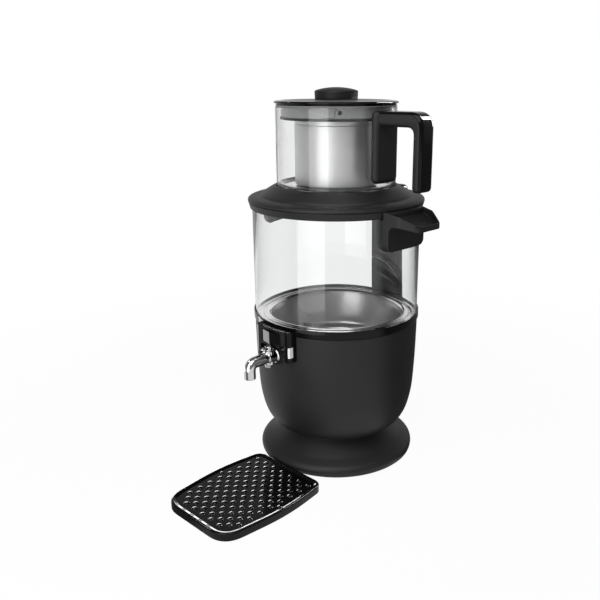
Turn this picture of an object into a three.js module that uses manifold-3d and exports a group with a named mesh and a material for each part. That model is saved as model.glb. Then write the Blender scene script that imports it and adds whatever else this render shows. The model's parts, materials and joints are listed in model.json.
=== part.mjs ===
import * as THREE from 'three';
import { mergeVertices } from 'three/addons/utils/BufferGeometryUtils.js';
import Module from 'manifold-3d';

const wasm = await Module();
wasm.setup();

// Electric samovar: a heated steel bowl under a glass vessel, a tap in front, a teapot that
// stands in the vessel's lid, and a loose drip tray. Millimetres, +Z up, with the origin at
// the middle of the base on the table. The tap faces -Y, the teapot's handle and one side
// grip +X, the other grip -X, and the rear spine +Y.

// Fits and facets
const seatGap = 0.3; // between neighbours that touch
const runGap = 0.4; // round a piece that turns or slides
const cutOverrun = 1; // how far a cut runs past the face that it opens
const largeSides = 36;
const mediumSides = 24;
const smallSides = 12;
const screwSides = 8;
const nutSides = 6;
const cornerSteps = 3;

// Base: pedestal, the plate that closes it, its feet and screws
const baseLift = 1.2; // underside of the pedestal over the table
const pedestalRadius = 90.5; // widest, at the rounded rim
const pedestalHeight = 33.3;
const pedestalWall = 2.6;
const neckRadius = 58.5;
const wireHoleRadius = 38;
const basePlateRadius = 76;
const basePlateThickness = 3;
const footHeight = 3.4;
const footRadius = 8;
const footProud = 1.5; // of the base plate
const footCircle = 60;
const footCount = 4;
const hubRadius = 18; // the lead is wound round it, and it reaches the table
const baseScrewCircle = 46;
const baseScrewCount = 4;
const bossRadius = 4.4;
const screwRadius = 1.5;
const screwHeadRadius = 3;
const screwHeadHeight = 2;
const screwLength = 12;
const neckScrewCircle = 48;
const neckScrewCount = 3;

// Lower housing and the ring that carries the glass
const housingRadius = 93;
const housingHeight = 130.4;
const housingWall = 2.8;
const trimProud = 1.2; // of the housing
const trimHeight = 9;
const trimSeat = 3.5; // thickness under the glass
const trimSeatWidth = 9;
const sealThickness = 1.6;

// Glass vessel, its collar and its lid
const glassInset = 0.6; // of the glass from the housing's wall
const glassWall = 3;
const glassHeight = 120.8;
const collarSkirt = 2.4; // how far the collar reaches down outside the glass
const collarWall = 1.9;
const collarFlare = 2.1; // of the collar from its lower to its upper edge
const collarLand = 2.8; // over the upper seal
const collarLip = 3.9; // how far the collar reaches in past the glass
const lidRise = 16.7; // from the lid's flange to the rim round the teapot
const lidShell = 2.6;
const lidSkirt = 9;
const steamHoleRadius = 30;
const teapotSeatDepth = 4.3;
const lidFlange = 14.15; // width of the lid's flange round its dome

// Heated bowl
const bowlSheet = 1.2;
const bowlFlange = 13.8; // width of its rim inside the glass
const bowlDepth = 37.6;
const bowlWellDepth = 3.7; // of the round well in its floor
const bowlWellInset = 12; // of the well from the floor's edge
const bowlTaper = 8.6; // how much narrower its floor is than its mouth, in radius
const bowlWallSteps = 4;
const heatPlateRadius = 50;
const heatPlateThickness = 5;
const elementCircle = 36;
const elementRadius = 3.4;
const elementGapTurn = 0.5; // radians between the element's two ends
const elementTail = 14;
const elementSteps = 28;
const thermostatRadius = 9;
const thermostatHeight = 9;
const fuseRadius = 2.6;
const fuseLength = 14;
const fuseReach = 20;

// Mains inlet
const glandHeight = 70; // over the table
const glandBore = 3.3;
const glandSleeve = 5.4;
const glandTip = 4.5;
const glandFlange = 7;
const glandProud = 12;
const glandFlangeThickness = 2.2;
const blockWidth = 26;
const blockDepth = 12;
const blockHeight = 11;
const blockReach = 51;
const blockScrewRadius = 2;

// Tap
const tapDrop = 24.7; // tap axis under the housing's top
const tapBore = 3.7;
const tapPipeRadius = 6.1;
const tapBodyRadius = 6.9;
const tapRingRadius = 7.6;
const tapFlangeRadius = 8.3;
const tapShankRadius = 5.2;
const outletPastValve = 27; // from the valve's axis to the outlet's
const tapOutletDrop = 15.8; // outlet's mouth under the tap axis
const tapBend = 9.5;
const tapPipeSteps = 10;
const tapBoreSteps = 18; // finer than the pipe, so that its wall never thins to nothing
const washerRadius = 11;
const washerThickness = 2.2;
const tapNutRadius = 9;
const tapNutThickness = 4;
const bowlWasherRadius = 8.5;
const valvePastSaddle = 4; // valve's axis past the switch housing's front face
const valveBossRadius = 5.9;
const valveBossRise = 7.6; // over the tap axis
const valveBossDrop = 7.4;
const plugRadius = 3.6;
const plugHole = 2.5;
const plugCapRadius = 4.6;
const plugCapHeight = 1.6;
const plugNutRadius = 5;
const plugNutHeight = 3;
const leverReach = 9.5; // from the valve's axis to the lever's tip
const leverRise = 3.9;
const leverTipThickness = 0.9;
const leverMiddleShare = 0.65; // of its rise, halfway out
const leverHeelShare = 0.7; // of its rise, at its rear end
const leverRootHalf = 2.5;
const leverTipHalf = 3;

// Filter over the tap's inlet, inside the bowl
const filterDepth = 25; // from the floor's edge to its near face
const filterHalf = 12;
const filterRise = 29;
const filterWall = 1.8;
const filterSlots = 5;
const filterSlotWidth = 1.8;
const filterKnobRadius = 4.2;
const filterKnobHeight = 3.5;

// Housing of the rocker switch, which straddles the tap
const saddleProud = 8; // front face past the lower housing's wall
const saddleHalf = 26;
const saddleCorner = 6.5;
const saddleLegDrop = 2.8; // of its two legs under the tap axis
const saddleLegGap = 6; // from the tap's washer to each leg
const saddleWall = 2;
const saddleRound = 2.5;
const rockerHalf = 13.5;
const rockerHeight = 14;
const rockerRidge = 3; // how far its ridge stands out
const rockerThickness = 3;
const rockerEndGap = 0.8; // its ends swing past the window's edge
const rockerSwing = 0.157; // radians, to either side
const trunnionRadius = 1;
const trunnionLength = 1.2;
const switchHalf = 11;
const switchHeight = 8.6;
const switchDepth = 18;
const lensFoot = 5.8; // underside of the lens over the leg's foot
const lensHeight = 11.5;
const lensThickness = 1.6;
const lensHalf = 3;
const lensSetback = 0.8; // behind the switch housing's front face

// Side grips
const gripLength = 30.8; // from the collar's edge to the lip
const gripRootHalf = 31;
const gripLipHalf = 18;
const gripLipDrop = 13; // of the lip's top under the collar's top
const gripLipHeight = 5.5;
const gripRim = 1.6;
const gripPocketDepth = 11;
const gripCorner = 8;
const gripBowReachShare = 0.42; // of its reach past the collar, where its sides turn in
const gripBowHalfShare = 0.8; // of the way from its half width at the lip to that at the root
const gripFloorShare = 0.7; // of the pocket's depth, next to the collar
const gripArchRise = 4; // the wing's underside over the lip's, where its sides turn in
const gripArchCorner = 10; // where the chin turns into the wing's underside
const chinProud = 6; // of the glass
const chinDrop = 41.2; // its underside under the collar's top
const chinCorner = 10;

// Rear spine
const spineHalf = 21.7;
const spineProud = 11.5; // of the housing's wall
const spineCorner = 7;
const spineFoot = 150;
const spineSeam = 201.5; // height of the slanting joint on its middle line
const spineSeamSlope = -0.39;
const spineHeadHeight = 13;
const spineHeadRise = 8; // of the head over the collar's top

// Teapot
const potRadius = 64.9;
const potHeight = 86;
const potWall = 2.5;
const potFloor = 3.5;
const potCorner = 4;
const handlePlateHalf = 18;
const handlePlateThickness = 6.6;
const handlePlateFoot = 10.5; // over the pot's underside
const handlePlateTop = 83;
const handleReach = 120.7;
const handleBar = 11.2;
const handleArm = 15;
const handleHalf = 11.5;
const handleFoot = 5.5;
const handleCorner = 15;
const handleInnerCorner = 6;
const handleEdge = 3;
const handleCover = 2.4;

// Strainer
const strainerInset = 3.4; // of its wall from the pot's bore
const strainerWall = 1.5;
const strainerDrop = 10.8; // of its wall under the pot's rim
const strainerShelf = 3;
const strainerFlange = 1.2;
const gateWidth = 11;
const gateHeight = 6;
const gateTurn = -0.87; // direction of the pouring gate from +X, in radians
const sealRingRadius = 1.3;
const sealRingSides = 6;
const basketInset = 14.1; // of the basket from the strainer's wall
const basketSheet = 0.8;
const basketFloorGap = 1.2; // over the pot's floor
const basketLip = 6;
const basketHoleRadius = 1.6;
const basketHoleSides = 4;
const basketHoleRings = 2;
const basketHolesPerRing = 6; // in the first ring, and as many more in each next one

// Teapot lid
const potLidProud = 1.5; // of the pot
const potLidThickness = 5.2;
const potLidSkirt = 1.4; // stays over the pot's rim
const potLidShell = 2.4;
const knobRadius = 23.1;
const knobHeight = 12;
const knobCrown = 3.4;
const knobShoulderShare = 0.8; // of its radius
const knobCrownShares = [0.45, 0.88]; // of its radius, and of its crown's rise there
const knobScrewLength = 9;

// Drip tray
const trayCentre = 14.3; // its middle line in X
const trayNearHalf = 50;
const trayWideHalf = 57.5;
const trayFarHalf = 49;
const trayLength = 133.5;
const trayWideShare = 0.43; // of its length, from its near edge to its widest
const trayCorner = 22;
const trayNearCorner = 9;
const trayHeight = 8.8;
const trayWall = 2.2;
const trayDish = 1.4;
const trayBorder = 5;
const trayCornerSteps = 5;
const trayClearance = 0.6; // to the pedestal
const domeRadius = 2.6;
const domeCrown = 1.1;
const domeHeight = 1.3;
const domePitch = 9.6;
const domeBorder = 3;
const domeNear = 12; // of the first row from the near edge
const domeSides = 5;

// Heights and reaches that follow from the sizes above
const pedestalTop = baseLift + pedestalHeight;
const basePlateBottom = footProud;
const basePlateTop = basePlateBottom + basePlateThickness;
const housingBottom = pedestalTop + seatGap;
const housingTop = housingBottom + housingHeight;
const trimBottom = housingTop + seatGap;
const trimTop = trimBottom + trimHeight;
const trimRadius = housingRadius + trimProud;
const saddleReach = housingRadius + saddleProud;
const valveReach = saddleReach + valvePastSaddle;
const tapReach = valveReach + outletPastValve;
const glassRadius = housingRadius - glassInset;
const spineReach = housingRadius + spineProud;
const lowerSealBottom = trimBottom + trimSeat + seatGap;
const glassBottom = lowerSealBottom + sealThickness + seatGap;
const glassTop = glassBottom + glassHeight;
const glassBore = glassRadius - glassWall;
const bowlMouth = glassBore - bowlFlange;
const bowlFloorRadius = bowlMouth - bowlTaper;
const bowlWellRadius = bowlFloorRadius - bowlWellInset;
const filterInner = bowlFloorRadius - filterDepth;
const upperSealBottom = glassTop + seatGap;
const collarRoof = upperSealBottom + sealThickness + seatGap;
const collarTop = collarRoof + collarLand;
const collarBottom = glassTop - collarSkirt;
const collarFoot = glassRadius + seatGap + collarWall;
const collarRadius = collarFoot + collarFlare;
const collarOpening = glassBore - collarLip;
const gripReach = collarRadius + gripLength;
const chinReach = glassRadius + chinProud;
const lidBottom = collarTop + seatGap;
const lidRadius = collarRadius + seatGap / 2;
const notchRadius = lidRadius - lidFlange;
const lidCrown = lidBottom + lidRise;
const potSeat = lidCrown - teapotSeatDepth;
const potBottom = potSeat + seatGap;
const potTop = potBottom + potHeight;
const potBore = potRadius - potWall;
const potLidRadius = potRadius + potLidProud;
const strainerRadius = potBore - strainerInset;
const basketRadius = strainerRadius - basketInset;
const lidMouth = potRadius + 2 * seatGap;
const strainerFlangeBottom = potTop + seatGap;
const strainerTop = strainerFlangeBottom + strainerFlange;
const potLidBottom = strainerTop + seatGap;
const potLidTop = potLidBottom + potLidThickness;
const knobBottom = potLidTop + seatGap;
const bowlFlangeTop = glassBottom + bowlSheet;
const bowlFloor = bowlFlangeTop - bowlDepth;
const bowlWell = bowlFloor - bowlWellDepth;
const bowlUnderside = bowlWell - bowlSheet;
const heatPlateTop = bowlUnderside - seatGap;
const heatPlateBottom = heatPlateTop - heatPlateThickness;
const tapHeight = housingTop - tapDrop;
const saddleFoot = tapHeight - saddleLegDrop;
const saddleArch = tapHeight + washerRadius + seatGap;
const saddleLegInner = washerRadius + saddleLegGap;
const rockerBottom = saddleArch + saddleWall + trunnionLength - seatGap;
const rockerTop = rockerBottom + rockerHeight;
const saddleTop = rockerTop + trunnionLength + saddleWall;
const switchBottom = rockerBottom;
const switchTop = switchBottom + switchHeight;

// Shapes and solids

// The geometry's triangles as a solid, with its shared corners merged.
function solidOf(geometry) {
  geometry.deleteAttribute('normal');
  geometry.deleteAttribute('uv');
  const merged = mergeVertices(geometry);
  const corners = merged.index.array;
  const kept = [];
  for (let i = 0; i < corners.length; i += 3) {
    const [a, b, c] = [corners[i], corners[i + 1], corners[i + 2]];
    if (a !== b && b !== c && c !== a) kept.push(a, b, c);
  }
  return new wasm.Manifold(new wasm.Mesh({
    numProp: 3,
    vertProperties: Float32Array.from(merged.attributes.position.array),
    triVerts: Uint32Array.from(kept),
  }));
}

// A loop of [radius, height] points turned about +Z.
function turned(loop, sides, alongY = false) {
  let area = 0;
  loop.forEach(([r, z], i) => {
    const [nextR, nextZ] = loop[(i + 1) % loop.length];
    area += r * nextZ - nextR * z;
  });
  const ordered = area < 0 ? [...loop].reverse() : loop;
  const points = [...ordered, ordered[0]].map(([r, z]) => new THREE.Vector2(r, z));
  const geometry = new THREE.LatheGeometry(points, sides);
  return solidOf(alongY ? geometry : geometry.rotateX(Math.PI / 2));
}

function disc(radius, low, high, sides) {
  return turned([[0, low], [radius, low], [radius, high], [0, high]], sides);
}

function ring(inner, outer, low, high, sides) {
  return turned([[inner, low], [outer, low], [outer, high], [inner, high]], sides);
}

// A round rod along Y, and the same ring along Y, at a height over the table.
function rodAlongY(radius, low, high, sides, height) {
  return turned([[0, low], [radius, low], [radius, high], [0, high]], sides, true)
    .translate([0, 0, height]);
}

function ringAlongY(inner, outer, low, high, sides, height) {
  return turned([[inner, low], [outer, low], [outer, high], [inner, high]], sides, true)
    .translate([0, 0, height]);
}

function extruded(outline, depth) {
  const shape = new THREE.Shape(outline.map(([x, y]) => new THREE.Vector2(x, y)));
  return new THREE.ExtrudeGeometry(shape, { depth, bevelEnabled: false });
}

// A hexagon nut on +Z with a round hole.
function nut(hole, radius, low, high) {
  return disc(radius, low, high, nutSides)
    .subtract(disc(hole, low - cutOverrun, high + cutOverrun, smallSides));
}

// Outlines in XY, XZ and YZ, extruded along the third direction.
function prism(outline, low, high) {
  return solidOf(extruded(outline, high - low).translate(0, 0, low));
}

function prismAlongY(outline, low, high) {
  return solidOf(extruded(outline, high - low).rotateX(Math.PI / 2).translate(0, high, 0));
}

function prismAlongX(outline, low, high) {
  const turn = new THREE.Matrix4().makeBasis(
    new THREE.Vector3(0, 1, 0), new THREE.Vector3(0, 0, 1), new THREE.Vector3(1, 0, 0));
  return solidOf(extruded(outline, high - low).applyMatrix4(turn).translate(low, 0, 0));
}

function box(lowX, highX, lowY, highY, lowZ, highZ) {
  return prism([[lowX, lowY], [highX, lowY], [highX, highY], [lowX, highY]], lowZ, highZ);
}

// A closed outline with each corner rounded: points are [x, y, radius].
function rounded(points, steps = cornerSteps) {
  const outline = [];
  points.forEach(([x, y, radius = 0], i) => {
    const [beforeX, beforeY] = points[(i + points.length - 1) % points.length];
    const [afterX, afterY] = points[(i + 1) % points.length];
    const corner = new THREE.Vector2(x, y);
    const back = new THREE.Vector2(beforeX, beforeY).sub(corner);
    const ahead = new THREE.Vector2(afterX, afterY).sub(corner);
    const room = Math.min(back.length(), ahead.length()) / 2;
    back.normalize();
    ahead.normalize();
    const half = Math.acos(THREE.MathUtils.clamp(back.dot(ahead), -1, 1)) / 2;
    const reach = Math.min(radius / Math.tan(half), room);
    if (reach <= 0) {
      outline.push([x, y]);
      return;
    }
    const start = corner.clone().addScaledVector(back, reach);
    const end = corner.clone().addScaledVector(ahead, reach);
    const bend = new THREE.QuadraticBezierCurve(start, corner, end);
    bend.getPoints(steps).forEach((p) => outline.push([p.x, p.y]));
  });
  return outline;
}

// A smooth line through the given points.
function smooth(points, steps) {
  const curve = new THREE.SplineCurve(points.map(([x, y]) => new THREE.Vector2(x, y)));
  return curve.getPoints(steps).map((p) => [p.x, p.y]);
}

const everySecond = (points) => points.filter((_, i) => i % 2 === 0);

// The line moved sideways to its left by a wall's thickness.
function inset(line, wall) {
  return line.map(([x, y], i) => {
    const [fromX, fromY] = line[Math.max(i - 1, 0)];
    const [toX, toY] = line[Math.min(i + 1, line.length - 1)];
    const length = Math.hypot(toX - fromX, toY - fromY);
    return [x - (toY - fromY) / length * wall, y + (toX - fromX) / length * wall];
  });
}

// A round tube along a path made of straight lines and one bend.
function tubeAlong(path, radius, sides, steps) {
  const section = [];
  for (let i = 0; i < sides; i++) {
    const turn = i / sides * 2 * Math.PI;
    section.push(new THREE.Vector2(radius * Math.cos(turn), radius * Math.sin(turn)));
  }
  const shape = new THREE.Shape(section);
  return solidOf(new THREE.ExtrudeGeometry(shape, { steps, extrudePath: path, bevelEnabled: false }));
}

const part = new THREE.Group();

function add(name, solid, color, roughness, metalness = 0, opacity = 1) {
  const { vertProperties, triVerts } = solid.getMesh();
  const geometry = new THREE.BufferGeometry();
  geometry.setAttribute('position', new THREE.BufferAttribute(vertProperties, 3));
  geometry.setIndex(new THREE.BufferAttribute(triVerts, 1));
  geometry.computeVertexNormals();
  const material = new THREE.MeshStandardMaterial({
    color, roughness, metalness, opacity, transparent: opacity < 1,
  });
  const mesh = new THREE.Mesh(geometry, material);
  mesh.name = name;
  part.add(mesh);
}

const mattBlack = (name, solid) => add(name, solid, 0x2c2c2c, 0.6);
const glossBlack = (name, solid) => add(name, solid, 0x0c0c0c, 0.12);
const steel = (name, solid) => add(name, solid, 0xb9b9b7, 0.28, 1);
const chrome = (name, solid) => add(name, solid, 0xd8d8d8, 0.08, 1);
const rubber = (name, solid) => add(name, solid, 0x151515, 0.8);
const clear = (name, solid) => add(name, solid, 0xf4f7f8, 0.05, 0, 0.3);

// Base

// Outer line of the pedestal: shares of the way from neck to rim, and of its height.
const pedestalShares = [
  [0.9, 0], [0.99, 0.1], [0.99, 0.25], [0.9, 0.35], [0.62, 0.49], [0.25, 0.735],
  [0.07, 0.89], [0, 1],
];

function corners(count, circle, start = 0) {
  return Array.from({ length: count }, (_, i) => {
    const turn = start + i / count * 2 * Math.PI;
    return [circle * Math.cos(turn), circle * Math.sin(turn)];
  });
}

const quarterTurn = Math.PI / 2;
const footPlaces = corners(footCount, footCircle, quarterTurn / 2);
const baseScrewPlaces = corners(baseScrewCount, baseScrewCircle);
const neckScrewPlaces = corners(neckScrewCount, neckScrewCircle, quarterTurn / 2);

function makePedestal() {
  const outer = pedestalShares.map(([out, up]) => [
    neckRadius + out * (pedestalRadius - neckRadius), baseLift + up * pedestalHeight,
  ]);
  const lip = baseLift + pedestalWall;
  const roof = pedestalTop - pedestalWall;
  const inner = everySecond(inset(outer, pedestalWall).filter(([, z]) => z > lip && z < roof));
  const opening = basePlateRadius + seatGap;
  let shell = turned([
    [opening, baseLift], ...outer, [wireHoleRadius, pedestalTop], [wireHoleRadius, roof],
    [neckRadius - pedestalWall, roof], ...inner.reverse(), [opening, lip],
  ], largeSides);
  for (const [x, y] of baseScrewPlaces) {
    shell = shell.add(disc(bossRadius, basePlateTop + seatGap, roof + cutOverrun, screwSides)
      .translate([x, y, 0]));
    shell = shell.subtract(disc(screwRadius + seatGap, 0, basePlateTop + screwLength, screwSides)
      .translate([x, y, 0]));
  }
  for (const [x, y] of neckScrewPlaces) {
    shell = shell.subtract(disc(screwRadius + seatGap, 0, pedestalTop + cutOverrun, screwSides)
      .translate([x, y, 0]));
  }
  return shell;
}

function makeBasePlate() {
  let plate = disc(basePlateRadius, basePlateBottom, basePlateTop, largeSides);
  plate = plate.add(disc(hubRadius, 0, basePlateTop, mediumSides));
  for (const [x, y] of footPlaces) {
    plate = plate.subtract(disc(footRadius + seatGap, 0, footHeight + seatGap, smallSides)
      .translate([x, y, 0]));
  }
  for (const [x, y] of baseScrewPlaces) {
    plate = plate.subtract(disc(screwRadius + seatGap, 0, basePlateTop + cutOverrun, screwSides)
      .translate([x, y, 0]));
  }
  return plate;
}

// A screw that stands on its head, whose top face is at the given height.
function screw(headTop, headHeight, length) {
  return turned([
    [0, headTop - headHeight], [screwHeadRadius, headTop - headHeight],
    [screwHeadRadius, headTop], [screwRadius, headTop], [screwRadius, headTop + length],
    [0, headTop + length],
  ], screwSides);
}

mattBlack('pedestal', makePedestal());
mattBlack('base_plate', makeBasePlate());
footPlaces.forEach(([x, y], i) => {
  rubber(`foot_${i + 1}`, disc(footRadius, 0, footHeight, smallSides).translate([x, y, 0]));
});
baseScrewPlaces.forEach(([x, y], i) => {
  const headTop = basePlateBottom - seatGap;
  steel(`base_screw_${i + 1}`, screw(headTop, screwHeadHeight / 2, screwLength)
    .translate([x, y, 0]));
});
neckScrewPlaces.forEach(([x, y], i) => {
  const headTop = pedestalTop - pedestalWall - seatGap;
  steel(`neck_screw_${i + 1}`, screw(headTop, screwHeadHeight, screwLength)
    .translate([x, y, 0]));
});

// Lower housing

// Outer line of the housing: shares of the way from neck to full radius, and of its height.
const housingShares = [
  [0, 0], [0.2, 0.012], [0.45, 0.05], [0.68, 0.13], [0.82, 0.24], [0.91, 0.385],
  [0.965, 0.62], [1, 1],
];

const housingLine = housingShares.map(([out, up]) => [
  neckRadius + out * (housingRadius - neckRadius), housingBottom + up * housingHeight,
]);

const housingFloor = housingBottom + housingWall;
const housingInside = [
  [neckRadius, housingFloor],
  ...everySecond(inset(housingLine, housingWall)
    .filter(([, z]) => z > housingFloor && z < housingTop)),
  [housingRadius - housingWall, housingTop],
];

// The radius of a rising line at a height over the table.
function radiusAt(line, height) {
  const above = line.findIndex(([, z]) => z > height);
  const [lowR, lowZ] = line[above - 1];
  const [highR, highZ] = line[above];
  return lowR + (height - lowZ) / (highZ - lowZ) * (highR - lowR);
}

function makeHousing() {
  const floor = housingFloor;
  let shell = turned([
    [wireHoleRadius, housingBottom], ...housingLine, ...[...housingInside].reverse(),
    [wireHoleRadius, floor],
  ], largeSides);
  for (const [x, y] of neckScrewPlaces) {
    const high = housingBottom + screwLength;
    shell = shell.add(disc(bossRadius, floor - cutOverrun, high, screwSides)
      .translate([x, y, 0]));
    shell = shell.subtract(disc(screwRadius + seatGap, 0, high + cutOverrun, screwSides)
      .translate([x, y, 0]));
  }
  const wallStart = housingRadius / 2;
  shell = shell.subtract(rodAlongY(
    tapShankRadius + seatGap, -tapReach, -wallStart, smallSides, tapHeight));
  shell = shell.subtract(rodAlongY(
    glandSleeve + seatGap, wallStart, spineReach, smallSides, glandHeight));
  const slack = switchHalf + seatGap;
  return shell.subtract(box(
    -slack, slack, -saddleReach, -wallStart, switchBottom - seatGap, switchTop + seatGap));
}

mattBlack('lower_housing', makeHousing());

glossBlack('trim_ring', turned([
  [trimRadius - trimSeatWidth, trimBottom], [trimRadius, trimBottom],
  [trimRadius, trimTop - seatGap], [trimRadius - seatGap, trimTop],
  [glassRadius + seatGap, trimTop], [glassRadius + seatGap, trimBottom + trimSeat],
  [trimRadius - trimSeatWidth, trimBottom + trimSeat],
], largeSides));
rubber('glass_seal_lower', ring(
  trimRadius - trimSeatWidth + seatGap, glassRadius, lowerSealBottom,
  lowerSealBottom + sealThickness, largeSides));

// Heated bowl and what hangs under it

function makeBowl() {
  const flange = glassBore - seatGap;
  const wallTop = bowlMouth - bowlSheet;
  const inner = smooth([
    [bowlMouth, bowlFlangeTop], [wallTop, bowlFlangeTop - 2 * bowlSheet],
    [(wallTop + bowlFloorRadius) / 2, (bowlFlangeTop + bowlFloor) / 2],
    [bowlFloorRadius, bowlFloor + 2 * bowlSheet], [bowlFloorRadius - 2 * bowlSheet, bowlFloor],
  ], bowlWallSteps);
  const well = [
    [bowlWellRadius + bowlWellDepth / 2, bowlFloor], [bowlWellRadius, bowlWell + bowlSheet],
    [bowlWellRadius - bowlSheet, bowlWell], [0, bowlWell],
  ];
  const line = [...inner, ...well];
  const under = inset(line, bowlSheet).slice(1, -1).reverse();
  const bowl = turned([
    [flange, bowlFlangeTop], ...line, [0, bowlUnderside], ...under,
    [bowlMouth + bowlSheet, bowlFlangeTop - bowlSheet], [flange, bowlFlangeTop - bowlSheet],
  ], largeSides);
  return bowl.subtract(rodAlongY(
    tapShankRadius + seatGap, -glassRadius, -bowlWellRadius, smallSides, tapHeight));
}

function makeElement() {
  const height = heatPlateBottom - seatGap - elementRadius;
  const points = [];
  const free = elementGapTurn / 2;
  const placed = (turn, z) => new THREE.Vector3(
    elementCircle * Math.cos(turn), elementCircle * Math.sin(turn), z);
  for (let i = 0; i <= elementSteps; i++) {
    points.push(placed(free + i / elementSteps * (2 * Math.PI - elementGapTurn), height));
  }
  const ends = [free, -free].map((turn) => disc(
    elementRadius, height - elementTail, height, smallSides / 2)
    .translate([elementCircle * Math.cos(turn), elementCircle * Math.sin(turn), 0]));
  const bend = new THREE.CatmullRomCurve3(points);
  const body = tubeAlong(bend, elementRadius, smallSides / 2, elementSteps);
  return body.add(ends[0]).add(ends[1]).rotate([0, 0, 90]);
}

steel('steel_bowl', makeBowl());
steel('heating_plate', disc(heatPlateRadius, heatPlateBottom, heatPlateTop, mediumSides));
steel('heating_element', makeElement());
const thermostatTop = heatPlateBottom - seatGap;
mattBlack('thermostat', turned([
  [0, thermostatTop - thermostatHeight], [thermostatRadius / 2, thermostatTop - thermostatHeight],
  [thermostatRadius / 2, thermostatTop - thermostatHeight / 2],
  [thermostatRadius, thermostatTop - thermostatHeight / 2], [thermostatRadius, thermostatTop],
  [0, thermostatTop],
], smallSides));
steel('thermal_fuse', rodAlongY(
  fuseRadius, -fuseLength / 2, fuseLength / 2, screwSides, heatPlateBottom - seatGap - fuseRadius)
  .translate([fuseReach, 0, 0]));

// Mains inlet

function makeGland() {
  const wall = radiusAt(housingInside, glandHeight - glandFlange);
  const face = Math.sqrt(wall ** 2 - glandFlange ** 2) - 2 * seatGap;
  const outside = radiusAt(housingLine, glandHeight);
  return turned([
    [glandBore, face - glandFlangeThickness], [glandFlange, face - glandFlangeThickness],
    [glandFlange, face], [glandSleeve, face], [glandSleeve, outside],
    [glandTip, outside + glandProud], [glandBore, outside + glandProud],
  ], smallSides, true).translate([0, 0, glandHeight]);
}

function makeTerminalBlock() {
  const bottom = housingFloor + seatGap;
  let block = box(
    -blockWidth / 2, blockWidth / 2, blockReach - blockDepth / 2, blockReach + blockDepth / 2,
    bottom, bottom + blockHeight);
  for (const place of [-1, 0, 1]) {
    block = block.subtract(disc(
      blockScrewRadius, bottom + blockHeight / 2, bottom + blockHeight + cutOverrun, screwSides)
      .translate([place * blockWidth / 3, blockReach, 0]));
  }
  return block;
}

rubber('lead_gland', makeGland());
mattBlack('terminal_block', makeTerminalBlock());

// Glass vessel and collar

clear('glass_vessel', ring(glassBore, glassRadius, glassBottom, glassTop, largeSides));
rubber('glass_seal_upper', ring(
  glassBore, glassRadius, upperSealBottom, upperSealBottom + sealThickness, largeSides));
mattBlack('collar', turned([
  [glassRadius + seatGap, collarBottom], [collarFoot, collarBottom],
  [(collarFoot + collarRadius) / 2, (collarBottom + collarTop) / 2],
  [collarRadius, collarTop], [collarOpening, collarTop], [collarOpening, collarRoof],
  [glassRadius + seatGap, collarRoof],
], largeSides));

// Outer line of the vessel's lid: shares of its radius past the notch, and of its rise.
const flangeShares = [[1, 0], [1, 0.09], [0.84, 0.22], [0.45, 0.33], [0, 0.355]];
const domeShares = [[0, 0.42], [0.3, 0.62], [0.7, 0.86], [1, 1]];

function makeLid() {
  const flange = flangeShares.map(([out, up]) => [
    notchRadius + out * (lidRadius - notchRadius), lidBottom + up * lidRise]);
  const dome = domeShares.map(([along, up]) => [
    notchRadius - along * (notchRadius - lidMouth - seatGap), lidBottom + up * lidRise]);
  const skirtOuter = collarOpening - 2 * seatGap;
  const skirtInner = skirtOuter - lidShell;
  const seatUnder = potSeat - lidShell;
  return turned([
    ...flange, ...dome, [lidMouth, lidCrown - seatGap], [lidMouth, potSeat],
    [steamHoleRadius, potSeat], [steamHoleRadius, seatUnder],
    [lidMouth - lidShell, seatUnder], [skirtInner, lidBottom + lidShell / 2],
    [skirtInner, lidBottom - lidSkirt], [skirtOuter, lidBottom - lidSkirt],
    [skirtOuter, lidBottom],
  ], largeSides);
}

mattBlack('vessel_lid', makeLid());

// Side grips, made at +X and turned to -X

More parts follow.
